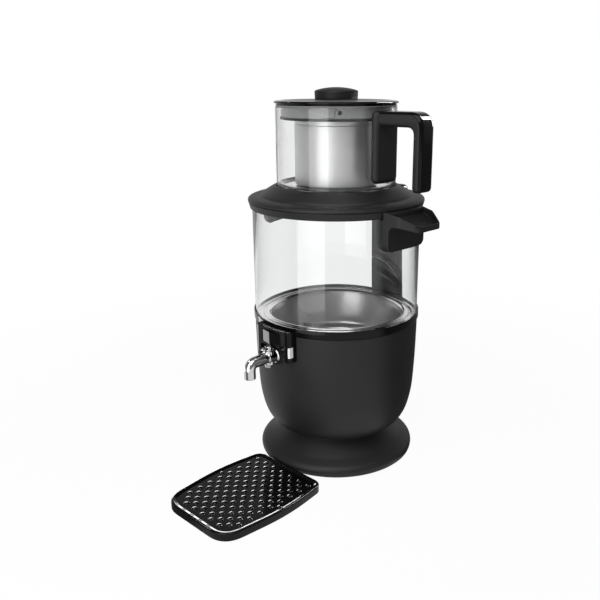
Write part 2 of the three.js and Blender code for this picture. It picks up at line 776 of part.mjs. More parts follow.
function makeGrip() {
  const root = glassRadius + seatGap;
  const top = collarTop + seatGap / 2;
  const lipTop = collarTop - gripLipDrop;
  const lipBottom = lipTop - gripLipHeight;
  const chinBottom = collarTop - chinDrop;
  const inside = glassRadius / 2;
  const bow = gripLipHalf + gripBowHalfShare * (gripRootHalf - gripLipHalf);
  const bowReach = collarRadius + gripBowReachShare * (gripReach - collarRadius);
  const wingPlan = (rim) => rounded([
    [inside, -gripRootHalf + rim], [root, -gripRootHalf + rim],
    [bowReach, -bow + rim, gripCorner * 2], [gripReach - rim, -gripLipHalf + rim, gripCorner],
    [gripReach - rim, gripLipHalf - rim, gripCorner], [bowReach, bow - rim, gripCorner * 2],
    [root, gripRootHalf - rim], [inside, gripRootHalf - rim],
  ]);
  const archTop = lipBottom + gripArchRise;
  const side = rounded([
    [inside, chinBottom], [chinReach, chinBottom], [chinReach, archTop, gripArchCorner],
    [bowReach, archTop, gripCorner], [gripReach, lipBottom], [gripReach, lipTop],
    [bowReach, (top + lipTop) / 2 + gripRim * 2], [root, top], [inside, top],
  ]);
  const front = rounded([
    [-gripRootHalf, chinBottom, chinCorner], [gripRootHalf, chinBottom, chinCorner],
    [gripRootHalf, top], [-gripRootHalf, top],
  ]);
  const body = prism(wingPlan(0), chinBottom - cutOverrun, top + cutOverrun)
    .intersect(prismAlongY(side, -gripRootHalf, gripRootHalf))
    .intersect(prismAlongX(front, inside, gripReach + cutOverrun));
  const pocketSide = [
    [collarRadius + gripRim, top - gripPocketDepth * gripFloorShare],
    [(collarRadius + gripReach) / 2, top - gripPocketDepth - gripRim],
    [gripReach, lipTop - gripRim], [gripReach, top + cutOverrun * 2],
    [collarRadius + gripRim, top + cutOverrun * 2],
  ];
  const pocket = prism(wingPlan(gripRim), lipBottom, top + cutOverrun)
    .intersect(prismAlongY(pocketSide, -gripRootHalf, gripRootHalf));
  const vessel = turned([
    [0, chinBottom - cutOverrun], [root, chinBottom - cutOverrun],
    [root, collarBottom - seatGap], [collarRadius + seatGap, collarBottom - seatGap],
    [collarRadius + seatGap, top + cutOverrun], [0, top + cutOverrun],
  ], largeSides);
  return body.subtract(pocket).subtract(vessel);
}

const grip = makeGrip();
mattBlack('grip_right', grip);
mattBlack('grip_left', grip.rotate([0, 0, 180]));

// Rear spine in three pieces

function spineBlock(low, high) {
  return prism(rounded([
    [-spineHalf, housingRadius / 2], [spineHalf, housingRadius / 2],
    [spineHalf, spineReach, spineCorner], [-spineHalf, spineReach, spineCorner],
  ]), low, high);
}

function makeSpine() {
  const headBottom = collarTop + spineHeadRise - spineHeadHeight;
  const top = collarTop + spineHeadRise;
  const slack = lidRadius + seatGap;
  const core = turned([
    [0, spineFoot - cutOverrun], [housingRadius + seatGap, spineFoot - cutOverrun],
    [housingRadius + seatGap, trimBottom - seatGap], [trimRadius + seatGap, trimBottom - seatGap],
    [trimRadius + seatGap, trimTop + seatGap], [glassRadius + seatGap, trimTop + seatGap],
    [glassRadius + seatGap, collarBottom - seatGap], [slack, collarBottom - seatGap],
    [slack, top + cutOverrun], [0, top + cutOverrun],
  ], largeSides);
  const edge = spineSeamSlope * spineHalf;
  const below = (offset) => prismAlongY([
    [-spineHalf, spineFoot], [spineHalf, spineFoot],
    [spineHalf, spineSeam + edge + offset], [-spineHalf, spineSeam - edge + offset],
  ], 0, spineReach + cutOverrun);
  const lower = spineBlock(spineFoot, headBottom).intersect(below(-seatGap)).subtract(core);
  const upper = spineBlock(spineFoot, headBottom - seatGap).subtract(below(0)).subtract(core);
  const headSide = rounded([
    [housingRadius / 2, headBottom], [spineReach, headBottom],
    [spineReach, top, spineCorner], [housingRadius / 2, top],
  ]);
  const head = spineBlock(headBottom, top)
    .intersect(prismAlongX(headSide, -spineHalf, spineHalf)).subtract(core);
  return { lower, upper, head };
}

const spine = makeSpine();
mattBlack('spine_lower', spine.lower);
mattBlack('spine_upper', spine.upper);
glossBlack('spine_head', spine.head);

// Saddle over the tap, with the rocker switch and a light window

function saddlePlan(shrink) {
  const half = saddleHalf - shrink;
  const front = -saddleReach + shrink;
  const corner = saddleCorner - shrink;
  return rounded([
    [-half, front, corner], [half, front, corner],
    [half, -housingRadius / 2], [-half, -housingRadius / 2],
  ]);
}

function lensBlock(slack) {
  const low = saddleFoot + lensFoot - slack;
  const high = saddleFoot + lensFoot + lensHeight + slack;
  const nearY = -saddleReach + lensSetback - slack;
  return box(
    saddleHalf - saddleCorner, saddleHalf + cutOverrun, nearY, nearY + lensHalf * 2 + slack * 2,
    low, high).subtract(prism(saddlePlan(lensThickness + slack), low - cutOverrun, high + cutOverrun));
}

// What the saddle's back leaves free: the housing and the ring on it.
function saddleSeat() {
  return turned([
    [0, saddleFoot - cutOverrun], [housingRadius + seatGap, saddleFoot - cutOverrun],
    [housingRadius + seatGap, trimBottom - seatGap], [trimRadius + seatGap, trimBottom - seatGap],
    [trimRadius + seatGap, saddleTop + cutOverrun], [0, saddleTop + cutOverrun],
  ], largeSides);
}

function makeSaddle() {
  const front = rounded([
    [-saddleHalf, saddleFoot, saddleRound], [-saddleLegInner, saddleFoot, saddleRound],
    [-saddleLegInner, saddleArch, saddleRound], [saddleLegInner, saddleArch, saddleRound],
    [saddleLegInner, saddleFoot, saddleRound], [saddleHalf, saddleFoot, saddleRound],
    [saddleHalf, saddleTop, saddleRound], [-saddleHalf, saddleTop, saddleRound],
  ]);
  const windowHalf = rockerHalf + rockerEndGap;
  const window = box(
    -windowHalf, windowHalf, -saddleReach - cutOverrun, -housingRadius / 2,
    rockerBottom - runGap, rockerTop + runGap);
  const pivotHole = disc(
    trunnionRadius + seatGap, rockerBottom - trunnionLength - seatGap,
    rockerTop + trunnionLength + seatGap, screwSides)
    .translate([0, -saddleReach + rockerThickness, 0]);
  return prismAlongY(front, -saddleReach - cutOverrun, -housingRadius / 2)
    .intersect(prism(saddlePlan(0), saddleFoot - cutOverrun, saddleTop + cutOverrun))
    .subtract(saddleSeat()).subtract(window).subtract(pivotHole).subtract(lensBlock(seatGap));
}

function makeRocker() {
  const front = -saddleReach;
  const back = front + rockerThickness;
  const key = prism([
    [-rockerHalf, front], [0, front - rockerRidge], [rockerHalf, front],
    [rockerHalf, back], [-rockerHalf, back],
  ], rockerBottom, rockerTop);
  const pivot = disc(
    trunnionRadius, rockerBottom - trunnionLength, rockerTop + trunnionLength, screwSides)
    .translate([0, back, 0]);
  return key.add(pivot);
}

const switchFront = -saddleReach + rockerThickness + rockerHalf * Math.sin(rockerSwing) + seatGap;

glossBlack('switch_saddle', makeSaddle());
glossBlack('power_rocker', makeRocker());
mattBlack('switch_body', box(
  -switchHalf, switchHalf, switchFront, switchFront + switchDepth, switchBottom, switchTop));
clear('light_window', lensBlock(0).intersect(
  prism(saddlePlan(0), saddleFoot, saddleTop)).subtract(saddleSeat()));

// Tap, from its nuts inside to the valve and the outlet

// The tube from a start along -Y, round the bend and down past the mouth by the overrun.
function tapTube(start, radius, overrun, steps) {
  const path = new THREE.CurvePath();
  const straight = new THREE.Vector3(0, -tapReach + tapBend, tapHeight);
  const down = new THREE.Vector3(0, -tapReach, tapHeight - tapBend);
  path.add(new THREE.LineCurve3(new THREE.Vector3(0, start, tapHeight), straight));
  path.add(new THREE.QuadraticBezierCurve3(
    straight, new THREE.Vector3(0, -tapReach, tapHeight), down));
  path.add(new THREE.LineCurve3(
    down, new THREE.Vector3(0, -tapReach, tapHeight - tapOutletDrop - overrun)));
  return tubeAlong(path, radius, smallSides, steps);
}

const shankEnd = -bowlFloorRadius + tapShankRadius;
const washerBack = -housingRadius - seatGap;
const flangeBack = washerBack - washerThickness - seatGap;
const bodyStart = flangeBack - washerThickness;
const valveEnd = -valveReach - valveBossRadius + plugCapHeight;

function makeTap() {
  const shank = rodAlongY(tapShankRadius, flangeBack, shankEnd, smallSides, tapHeight);
  const flange = rodAlongY(tapFlangeRadius, bodyStart, flangeBack, smallSides, tapHeight);
  const body = rodAlongY(tapBodyRadius, valveEnd, bodyStart, smallSides, tapHeight);
  const band = rodAlongY(
    tapRingRadius, valveEnd - plugCapHeight, valveEnd, smallSides, tapHeight);
  const boss = disc(
    valveBossRadius, tapHeight - valveBossDrop, tapHeight + valveBossRise, smallSides)
    .translate([0, -valveReach, 0]);
  const pipe = tapTube(valveEnd, tapPipeRadius, 0, tapPipeSteps);
  const bore = tapTube(shankEnd + cutOverrun, tapBore, cutOverrun, tapBoreSteps);
  const plugBore = disc(
    plugRadius + seatGap, tapHeight - valveBossDrop - cutOverrun,
    tapHeight + valveBossRise + cutOverrun, smallSides).translate([0, -valveReach, 0]);
  return shank.add(flange).add(body).add(band).add(boss).add(pipe)
    .subtract(bore).subtract(plugBore);
}

// Valve plug with its cap, and the nut that holds it from below.
const capBottom = tapHeight + valveBossRise + seatGap;
const capTop = capBottom + plugCapHeight;
const plugNutTop = tapHeight - valveBossDrop - seatGap;
const plugNutBottom = plugNutTop - plugNutHeight;

function makePlug() {
  const plug = turned([
    [0, plugNutBottom], [plugRadius - seatGap, plugNutBottom], [plugRadius, capBottom],
    [plugCapRadius, capBottom], [plugCapRadius, capTop], [0, capTop],
  ], smallSides);
  const crossHole = rodAlongY(
    plugHole, -plugCapRadius - cutOverrun, plugCapRadius + cutOverrun, screwSides, tapHeight)
    .rotate([0, 0, 90]);
  return plug.subtract(crossHole).translate([0, -valveReach, 0]);
}

function makeLever() {
  const low = capTop + seatGap;
  const root = leverRootHalf;
  const side = [
    [root, low], [-leverReach, low], [-leverReach, low + leverTipThickness],
    [-leverReach / 2, low + leverMiddleShare * leverRise],
    [-leverRootHalf / 2, low + leverRise], [root, low + leverHeelShare * leverRise],
  ];
  const plan = rounded([
    [-leverRootHalf, root, leverRootHalf], [-leverTipHalf, -leverReach, leverTipHalf],
    [leverTipHalf, -leverReach, leverTipHalf], [leverRootHalf, root, leverRootHalf],
  ]);
  return prismAlongX(side, -leverTipHalf, leverTipHalf)
    .intersect(prism(plan, low - cutOverrun, low + leverRise + cutOverrun))
    .translate([0, -valveReach, 0]);
}

const housingCore = turned([
  [0, saddleFoot - saddleHalf], [housingRadius + seatGap, saddleFoot - saddleHalf],
  [housingRadius + seatGap, housingTop], [0, housingTop],
], largeSides);

chrome('tap_body', makeTap());
rubber('tap_washer', ringAlongY(
  tapShankRadius + seatGap, washerRadius, washerBack - washerThickness,
  washerBack + washerThickness, smallSides, tapHeight).subtract(housingCore));
const nutFront = -housingRadius + 2 * housingWall;
const bowlNutFace = -(bowlMouth + bowlSheet) - seatGap;
steel('tap_nut', nut(tapShankRadius + seatGap, tapNutRadius, 0, tapNutThickness)
  .rotate([-90, 0, 0]).translate([0, nutFront, tapHeight]));
rubber('tap_bowl_washer', ringAlongY(
  tapShankRadius + seatGap, bowlWasherRadius, bowlNutFace - sealThickness,
  bowlNutFace, smallSides, tapHeight));
chrome('valve_plug', makePlug());
steel('valve_nut', nut(plugRadius + seatGap, plugNutRadius, plugNutBottom, plugNutTop)
  .translate([0, -valveReach, 0]));
chrome('tap_lever', makeLever());

// Filter in the bowl, over the tap's inlet

function makeFilter() {
  const low = bowlFloor + seatGap;
  const high = low + filterRise;
  const bowlInside = disc(
    bowlFloorRadius - 2 * bowlSheet - seatGap, low, high + cutOverrun, largeSides);
  const shape = (shrink) => box(
    -filterHalf + shrink, filterHalf - shrink, -bowlMouth, -filterInner - shrink,
    low - (shrink ? cutOverrun : 0), high - shrink);
  let filter = shape(0).intersect(bowlInside);
  filter = filter.subtract(box(
    -filterHalf + filterWall, filterHalf - filterWall, shankEnd - filterWall * 2,
    -filterInner - filterWall, low - cutOverrun, high - filterWall));
  const shankSlot = tapShankRadius + runGap;
  filter = filter.subtract(box(
    -shankSlot, shankSlot, -bowlMouth, shankEnd + runGap, low - cutOverrun, tapHeight + shankSlot));
  const pitch = filterRise / (filterSlots + 1);
  for (let i = 1; i <= filterSlots; i++) {
    const middle = low + i * pitch;
    filter = filter.subtract(box(
      -filterHalf + 2 * filterWall, filterHalf - 2 * filterWall, -filterInner - 2 * filterWall,
      -filterInner + cutOverrun, middle - filterSlotWidth / 2, middle + filterSlotWidth / 2));
  }
  return filter.add(disc(
    filterKnobRadius, high - filterWall / 2, high + filterKnobHeight, smallSides)
    .translate([0, -filterInner - filterKnobRadius, 0]));
}

mattBlack('tap_filter', makeFilter());

// Teapot

function makePot() {
  const outer = [[potRadius - potCorner, potBottom], [potRadius, potBottom + potCorner]];
  const bend = new THREE.QuadraticBezierCurve(
    new THREE.Vector2(...outer[0]), new THREE.Vector2(potRadius, potBottom),
    new THREE.Vector2(...outer[1]));
  const foot = bend.getPoints(cornerSteps).map((p) => [p.x, p.y]);
  return turned([
    [0, potBottom], ...foot, [potRadius, potTop], [potBore, potTop],
    [potBore, potBottom + potFloor + potCorner / 2],
    [potBore - potCorner / 2, potBottom + potFloor], [0, potBottom + potFloor],
  ], largeSides);
}

const plateReach = potRadius + seatGap + handlePlateThickness;
const plateBottom = potBottom + handlePlateFoot;
const plateTop = potBottom + handlePlateTop;
const barInner = handleReach - handleBar;
const barBottom = potBottom + handleFoot;
const armBottom = plateTop - handleArm;

// The handle's side view, an upside-down J, grown or shrunk by its cover.
function handleSide(shrink) {
  return rounded([
    [potRadius / 2, plateTop - shrink], [potRadius / 2, armBottom],
    [barInner, armBottom, handleInnerCorner], [barInner, barBottom, handleEdge],
    [handleReach - shrink, barBottom, handleEdge],
    [handleReach - shrink, plateTop - shrink, handleCorner],
  ]);
}

function makeHandle() {
  const plate = prism(rounded([
    [potRadius / 2, -handlePlateHalf], [plateReach, -handlePlateHalf, handleEdge],
    [plateReach, handlePlateHalf, handleEdge], [potRadius / 2, handlePlateHalf],
  ]), plateBottom, plateTop).intersect(prismAlongX(rounded([
    [-handlePlateHalf, plateBottom, handleCorner / 2], [handlePlateHalf, plateBottom, handleCorner / 2],
    [handlePlateHalf, plateTop, handleEdge], [-handlePlateHalf, plateTop, handleEdge],
  ]), 0, handleReach));
  const bar = prismAlongY(handleSide(handleCover + seatGap), -handleHalf, handleHalf);
  const pot = disc(potRadius + seatGap, potBottom, potTop, largeSides);
  return plate.add(bar).subtract(pot);
}

function makeHandleCover() {
  const body = prismAlongY(handleSide(handleCover), -handleHalf - cutOverrun, handleHalf + cutOverrun);
  const start = plateReach + seatGap;
  const outside = box(
    start, handleReach + cutOverrun, -handleHalf, handleHalf, barBottom, plateTop + cutOverrun);
  return prismAlongY(handleSide(0), -handleHalf, handleHalf).subtract(body).intersect(outside);
}

clear('teapot_glass', makePot());
mattBlack('teapot_handle', makeHandle());
glossBlack('handle_cover', makeHandleCover());

// Strainer: its collar, the seal ring round it and the steel basket

const strainerWallBottom = potTop - strainerDrop;
const shelfBottom = strainerWallBottom - strainerShelf;
const shelfRadius = strainerRadius - strainerWall;

function makeStrainerCollar() {
  const loop = turned([
    [basketRadius + seatGap, shelfBottom], [shelfRadius, shelfBottom],
    [shelfRadius, strainerWallBottom], [strainerRadius, strainerWallBottom],
    [strainerRadius, strainerFlangeBottom], [potRadius - seatGap, strainerFlangeBottom],
    [potRadius - seatGap, strainerTop], [shelfRadius, strainerTop],
    [shelfRadius, strainerWallBottom + seatGap],
    [basketRadius + seatGap, strainerWallBottom + seatGap],
  ], largeSides);
  const gateFoot = strainerWallBottom + strainerWall;
  const gate = box(
    shelfRadius - strainerWall, strainerRadius + cutOverrun, -gateWidth / 2, gateWidth / 2,
    gateFoot, gateFoot + gateHeight).rotate([0, 0, THREE.MathUtils.radToDeg(gateTurn)]);
  return loop.subtract(gate);
}

function makeSealRing() {
  const middle = strainerWallBottom - seatGap - sealRingRadius;
  const centre = shelfRadius + seatGap + sealRingRadius;
  const loop = corners(sealRingSides, sealRingRadius).map(([x, y]) => [centre + x, middle + y]);
  return turned(loop, largeSides);
}

function makeBasket() {
  const bottom = potBottom + potFloor + basketFloorGap;
  const lipBottom = strainerWallBottom + 2 * seatGap;
  const lipTop = lipBottom + basketSheet;
  const inner = basketRadius - basketSheet;
  let basket = turned([
    [0, bottom], [basketRadius - basketSheet, bottom], [basketRadius, bottom + basketSheet],
    [basketRadius, lipBottom], [basketRadius + basketLip, lipBottom],
    [basketRadius + basketLip, lipTop], [inner, lipTop], [inner, bottom + basketSheet],
    [0, bottom + basketSheet],
  ], largeSides);
  const hole = disc(
    basketHoleRadius, bottom - cutOverrun, bottom + basketSheet + cutOverrun, basketHoleSides);
  const pitch = basketRadius / (basketHoleRings + 1);
  for (let i = 1; i <= basketHoleRings; i++) {
    for (const [x, y] of corners(i * basketHolesPerRing, i * pitch)) {
      basket = basket.subtract(hole.translate([x, y, 0]));
    }
  }
  return basket;
}

add('strainer_collar', makeStrainerCollar(), 0x9c9c9c, 0.4, 0, 0.8);
rubber('strainer_seal', makeSealRing());
steel('strainer_basket', makeBasket());

// Teapot lid and knob

// Outer line of the teapot's lid: shares of its radius and of its thickness.
const potLidShares = [[0.992, 0], [1, 0.15], [0.985, 0.55], [0.88, 0.92], [0.65, 1]];

function makePotLid() {
  const outer = potLidShares.map(([out, up]) => [
    out * potLidRadius, potLidBottom + up * potLidThickness]);
  const skirt = shelfRadius - seatGap;
  return turned([
    [skirt, potLidBottom], ...outer, [0, potLidTop],
    [0, potLidTop - potLidShell], [skirt - potLidShell, potLidTop - potLidShell],
    [skirt - potLidShell, potLidBottom - potLidSkirt], [skirt, potLidBottom - potLidSkirt],
  ], largeSides).subtract(disc(
    screwRadius + seatGap, potLidBottom, potLidTop + cutOverrun, screwSides));
}

function makeKnob() {
  const shoulder = knobBottom + knobHeight - knobCrown;
  const crown = new THREE.QuadraticBezierCurve(
    new THREE.Vector2(knobRadius, shoulder - knobCrown / 2),
    new THREE.Vector2(knobRadius, shoulder + knobCrown / 2),
    new THREE.Vector2(knobRadius * knobShoulderShare, shoulder + knobCrown / 2));
  const edge = crown.getPoints(cornerSteps).map((p) => [p.x, p.y]);
  const [along, up] = knobCrownShares;
  return turned([
    [0, knobBottom], [knobRadius, knobBottom], ...edge,
    [along * knobRadius, shoulder + up * knobCrown], [0, knobBottom + knobHeight],
  ], mediumSides).subtract(disc(
    screwRadius + seatGap, knobBottom - cutOverrun,
    potLidTop - potLidShell + knobScrewLength, screwSides));
}

glossBlack('teapot_lid', makePotLid());
mattBlack('lid_knob', makeKnob());
const knobScrewHead = potLidTop - potLidShell - seatGap;
steel('knob_screw', screw(knobScrewHead, screwHeadHeight, knobScrewLength));

// Drip tray

const trayNear = pedestalRadius + trayClearance;
const trayFar = trayNear + trayLength;

function trayOutline(shrink) {
  const near = -trayNear - shrink;
  const far = -trayFar + shrink;
  const wide = -trayNear - trayWideShare * trayLength;
  return rounded([
    [trayCentre - trayNearHalf + shrink, near, trayNearCorner],
    [trayCentre - trayWideHalf + shrink, wide, trayLength / 3],
    [trayCentre - trayFarHalf + shrink, far, trayCorner],
    [trayCentre + trayFarHalf - shrink, far, trayCorner],
    [trayCentre + trayWideHalf - shrink, wide, trayLength / 3],
    [trayCentre + trayNearHalf - shrink, near, trayNearCorner],
  ], trayCornerSteps);
}

function makeTray() {
  const floor = trayHeight - trayDish;
  const dish = prism(trayOutline(trayBorder), floor, trayHeight + cutOverrun);
  const under = prism(trayOutline(trayWall), -cutOverrun, floor - trayWall);
  let tray = prism(trayOutline(0), 0, trayHeight).subtract(dish).subtract(under);
  const step = domePitch / Math.sqrt(2);
  const field = trayOutline(trayBorder + domeBorder);
  const dome = turned([
    [0, floor - trayDish / 2], [domeRadius, floor - trayDish / 2], [domeRadius, floor],
    [domeCrown, floor + domeHeight], [0, floor + domeHeight],
  ], domeSides);
  const rows = Math.floor(trayLength / step);
  const columns = Math.ceil(trayWideHalf / step);
  for (let row = 0; row < rows; row++) {
    for (let column = -columns; column <= columns; column++) {
      const x = trayCentre + column * step;
      const y = -trayNear - domeNear - row * step;
      const placed = (row + column) % 2 === 0 && inOutline(field, x, y);
      if (placed) tray = tray.add(dome.translate([x, y, 0]));
    }
  }
  return tray;
}

// Whether a point lies inside a closed outline, by counting the edges to its right.
function inOutline(outline, x, y) {
  let inside = false;
  outline.forEach(([x1, y1], i) => {
    const [x2, y2] = outline[(i + 1) % outline.length];
    if ((y1 > y) !== (y2 > y) && x < x1 + (y - y1) / (y2 - y1) * (x2 - x1)) inside = !inside;
  });
  return inside;
}

glossBlack('drip_tray', makeTray());

export default part;
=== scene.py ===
import json
import math
import bmesh
import bpy
import numpy as np
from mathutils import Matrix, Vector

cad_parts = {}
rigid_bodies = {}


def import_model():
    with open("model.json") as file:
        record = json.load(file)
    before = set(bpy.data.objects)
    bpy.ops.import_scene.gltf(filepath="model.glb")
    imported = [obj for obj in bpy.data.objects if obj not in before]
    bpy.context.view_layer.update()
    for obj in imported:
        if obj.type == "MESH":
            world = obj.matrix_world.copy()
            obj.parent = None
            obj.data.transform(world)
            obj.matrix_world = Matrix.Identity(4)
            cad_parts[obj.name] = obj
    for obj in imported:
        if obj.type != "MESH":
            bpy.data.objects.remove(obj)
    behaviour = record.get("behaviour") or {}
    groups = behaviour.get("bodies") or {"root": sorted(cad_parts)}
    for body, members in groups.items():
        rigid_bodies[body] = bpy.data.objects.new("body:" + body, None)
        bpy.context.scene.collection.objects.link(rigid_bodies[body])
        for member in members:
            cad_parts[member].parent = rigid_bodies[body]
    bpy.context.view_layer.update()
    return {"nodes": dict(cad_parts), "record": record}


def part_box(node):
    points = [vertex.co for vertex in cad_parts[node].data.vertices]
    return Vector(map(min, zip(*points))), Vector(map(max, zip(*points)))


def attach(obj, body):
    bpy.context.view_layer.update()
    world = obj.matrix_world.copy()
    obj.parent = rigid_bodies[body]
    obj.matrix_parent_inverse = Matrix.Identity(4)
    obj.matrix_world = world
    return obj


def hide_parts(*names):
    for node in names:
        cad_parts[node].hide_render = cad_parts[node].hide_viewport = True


# Electric samovar with a glass vessel, a tap, a teapot that stands in its lid and a drip tray.
# Shapes are worked out in millimetres, from the boxes of the frame's nodes.

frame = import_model()
record = frame["record"]
slotOf = {entry["node"]: entry["material_slot"] for entry in record["subparts"]}
bodyOf = {node: body for body, nodes in record["behaviour"]["bodies"].items() for node in nodes}
metre = 1000  # millimetres
fit = 0.3  # the gap between a piece and the one it sits in or on
overrun = 5.0  # how far a cutting shape goes past what it cuts
print("frame loaded")


# The lowest and the highest corner of a node's box, in millimetres.
def boxOf(node):
    low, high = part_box(node)
    return np.array(low) * metre, np.array(high) * metre


def heightsOf(node):  # its lowest and highest point
    low, high = boxOf(node)
    return low[2], high[2]


def radiusOf(node):  # of a node that is round about the upright axis
    return boxOf(node)[1][0]


# Shader maths

# One socket of a shader. Arithmetic on it adds Math nodes.
class Wire:
    def __init__(self, shader, socket):
        self.shader, self.socket = shader, socket

    def maths(self, operation, first, second=0.0):
        return self.shader.node("ShaderNodeMath", {"operation": operation}, {0: first, 1: second})

    def __add__(self, other):
        return self.maths("ADD", self, other)

    def __radd__(self, other):
        return self.maths("ADD", other, self)

    def __sub__(self, other):
        return self.maths("SUBTRACT", self, other)

    def __rsub__(self, other):
        return self.maths("SUBTRACT", other, self)

    def __mul__(self, other):
        return self.maths("MULTIPLY", self, other)

    def __rmul__(self, other):
        return self.maths("MULTIPLY", other, self)

    def __pow__(self, other):
        return self.maths("POWER", self, other)


# The node tree of one material or of the world.
class Shader:
    def __init__(self, tree):
        self.tree = tree
        tree.nodes.clear()

    # Adds a node: its settings first, then values or wires into its sockets.
    def node(self, kind, settings=None, inputs=None, output=0):
        node = self.tree.nodes.new(kind)
        for key, value in (settings or {}).items():
            setattr(node, key, value)
        for key, value in (inputs or {}).items():
            if isinstance(value, Wire):
                self.tree.links.new(value.socket, node.inputs[key])
            else:
                node.inputs[key].default_value = value
        return Wire(self, node.outputs[output])

    def place(self):
        return self.node("ShaderNodeTexCoord", output="Object")

    def part(self, vector, axis):
        return self.node("ShaderNodeSeparateXYZ", None, {0: vector}, axis)

    def vector(self, operation, first, second=(0, 0, 0), output="Vector"):
        return self.node("ShaderNodeVectorMath", {"operation": operation}, {0: first, 1: second}, output)

    def noise(self, vector, scale, detail=3.0, roughness=0.55):
        return self.node("ShaderNodeTexNoise", None, {
            "Vector": vector, "Scale": scale, "Detail": detail, "Roughness": roughness}, "Fac")

    # How far a value is on its way from one number to another, from 0 to 1.
    def between(self, value, low, high):
        return self.node("ShaderNodeMapRange", {"clamp": True}, {
            "Value": value, "From Min": low, "From Max": high}, "Result")

    # From one colour to another by a share.
    def mixed(self, share, first, second):
        return self.node("ShaderNodeMix", {"data_type": "RGBA"}, {
            0: share, 6: (*first, 1) if isinstance(first, tuple) else first,
            7: (*second, 1) if isinstance(second, tuple) else second}, 2)

    def bump(self, height, strength, distance):
        return self.node("ShaderNodeBump", None, {
            "Strength": strength, "Distance": distance, "Height": height}, "Normal")

    def principled(self, **inputs):
        named = {name.replace("_", " "): value for name, value in inputs.items()}
        return self.node("ShaderNodeBsdfPrincipled", None, named, "BSDF")

    def output(self, surface, kind="ShaderNodeOutputMaterial"):
        end = self.tree.nodes.new(kind)
        self.tree.links.new(surface.socket, end.inputs["Surface"])


# A new material and its shader.
def newShader(name):
    material = bpy.data.materials.new(name)
    material.use_nodes = True
    return material, Shader(material.node_tree)


def grey(level):  # red, green and blue alike
    return (level, level, level)


# Of the noises in the finishes: the stretch of a noise that shows, and the share of the first where
# two are added.
noises = {
    "plasticStretch": (0.3, 0.7), "plasticSheen": 0.65, "glossStretch": (0.35, 0.75), "dustSheen": 0.3,
    "metalShade": 0.6, "metalSheen": 0.7, "glassStretch": (0.45, 0.8),
}


# A share of the first and the rest of the second.
def added(share, first, second):
    return share * first + (1 - share) * second


# Moulded plastic with a spark-eroded grain: fine bumps, and broad, faint changes of shade and sheen.
def mouldedPlastic(name, values):
    material, s = newShader(name)
    place = s.place()
    grain = s.noise(place, values["grainScale"], detail=2.0)
    broad = s.between(s.noise(place, values["broadScale"], detail=4.0), *noises["plasticStretch"])
    low, high = values["shades"]
    tint = values.get("tint", (1.0, 1.0, 1.0))
    colour = s.mixed(broad, tuple(low * t for t in tint), tuple(high * t for t in tint))
    smooth, rough = values["roughness"]
    s.output(s.principled(
        Base_Color=colour,
        Roughness=smooth + (rough - smooth) * added(noises["plasticSheen"], broad, grain),
        Specular_IOR_Level=values["gloss"],
        Normal=s.bump(grain, values["grainStrength"], values["grainHeight"])))
    return material


# High gloss plastic: a deep shade, a mirror finish with a faint ripple, and specks of dust.
def glossPlastic(name, values):
    material, s = newShader(name)
    place = s.place()
    ripple = s.noise(place, values["rippleScale"], detail=2.0)
    dust = s.between(s.noise(place, values["dustScale"], detail=1.0), values["dustFrom"], 1.0)
    wiped = s.between(s.noise(place, values["wipeScale"], detail=5.0), *noises["glossStretch"])
    s.output(s.principled(
        Base_Color=s.mixed(dust, grey(values["shade"]), grey(values["dustShade"])),
        Roughness=values["roughness"] + values["wipe"] * wiped + noises["dustSheen"] * dust,
        Specular_IOR_Level=values["gloss"],
        Normal=s.bump(ripple, values["rippleStrength"], values["rippleHeight"])))
    return material


# Metal brushed round the vertical axis: streaks run along the turn and change along the profile.
def brushedMetal(name, values):
    material, s = newShader(name)
    place = s.place()
    x, y, z = (s.part(place, axis) for axis in "XYZ")
    radius = (x * x + y * y) ** 0.5
    along, across = values["streakLength"], values["streakWidth"]
    streakPlace = s.node("ShaderNodeCombineXYZ", None, {
        0: x * (1 / along), 1: y * (1 / along), 2: (radius + z) * (1 / across)})
    streak = s.noise(streakPlace, 1.0, roughness=0.6)
    broad = s.noise(place, values["broadScale"])
    low, high = values["shades"]
    smooth, rough = values["roughness"]
    tint = values["tint"]
    s.output(s.principled(
        Base_Color=s.mixed(
            added(noises["metalShade"], streak, broad), tuple(low * t for t in tint),
            tuple(high * t for t in tint)),
        Metallic=1.0,
        Roughness=smooth + (rough - smooth) * added(noises["metalSheen"], streak, broad),
        Normal=s.bump(streak, values["streakStrength"], values["streakHeight"])))
    return material


# Clear glass, faintly wiped. Lamps shine through it, so what stands in it is lit.
def clearGlass(name, values):
    material, s = newShader(name)
    place = s.place()
    wiped = s.between(s.noise(place, values["wipeScale"], detail=5.0), *noises["glassStretch"])
    glass = s.principled(
        Base_Color=(*values["colour"], 1), Roughness=values["wipe"] * wiped,
        IOR=values["ior"], Transmission_Weight=values["clear"])
    passed = s.node("ShaderNodeBsdfTransparent", None, {"Color": (*values["shadow"], 1)})
    lampRay = s.node("ShaderNodeLightPath", output="Is Shadow Ray")
    s.output(s.node("ShaderNodeMixShader", None, {0: lampRay, 1: glass, 2: passed}))
    return material


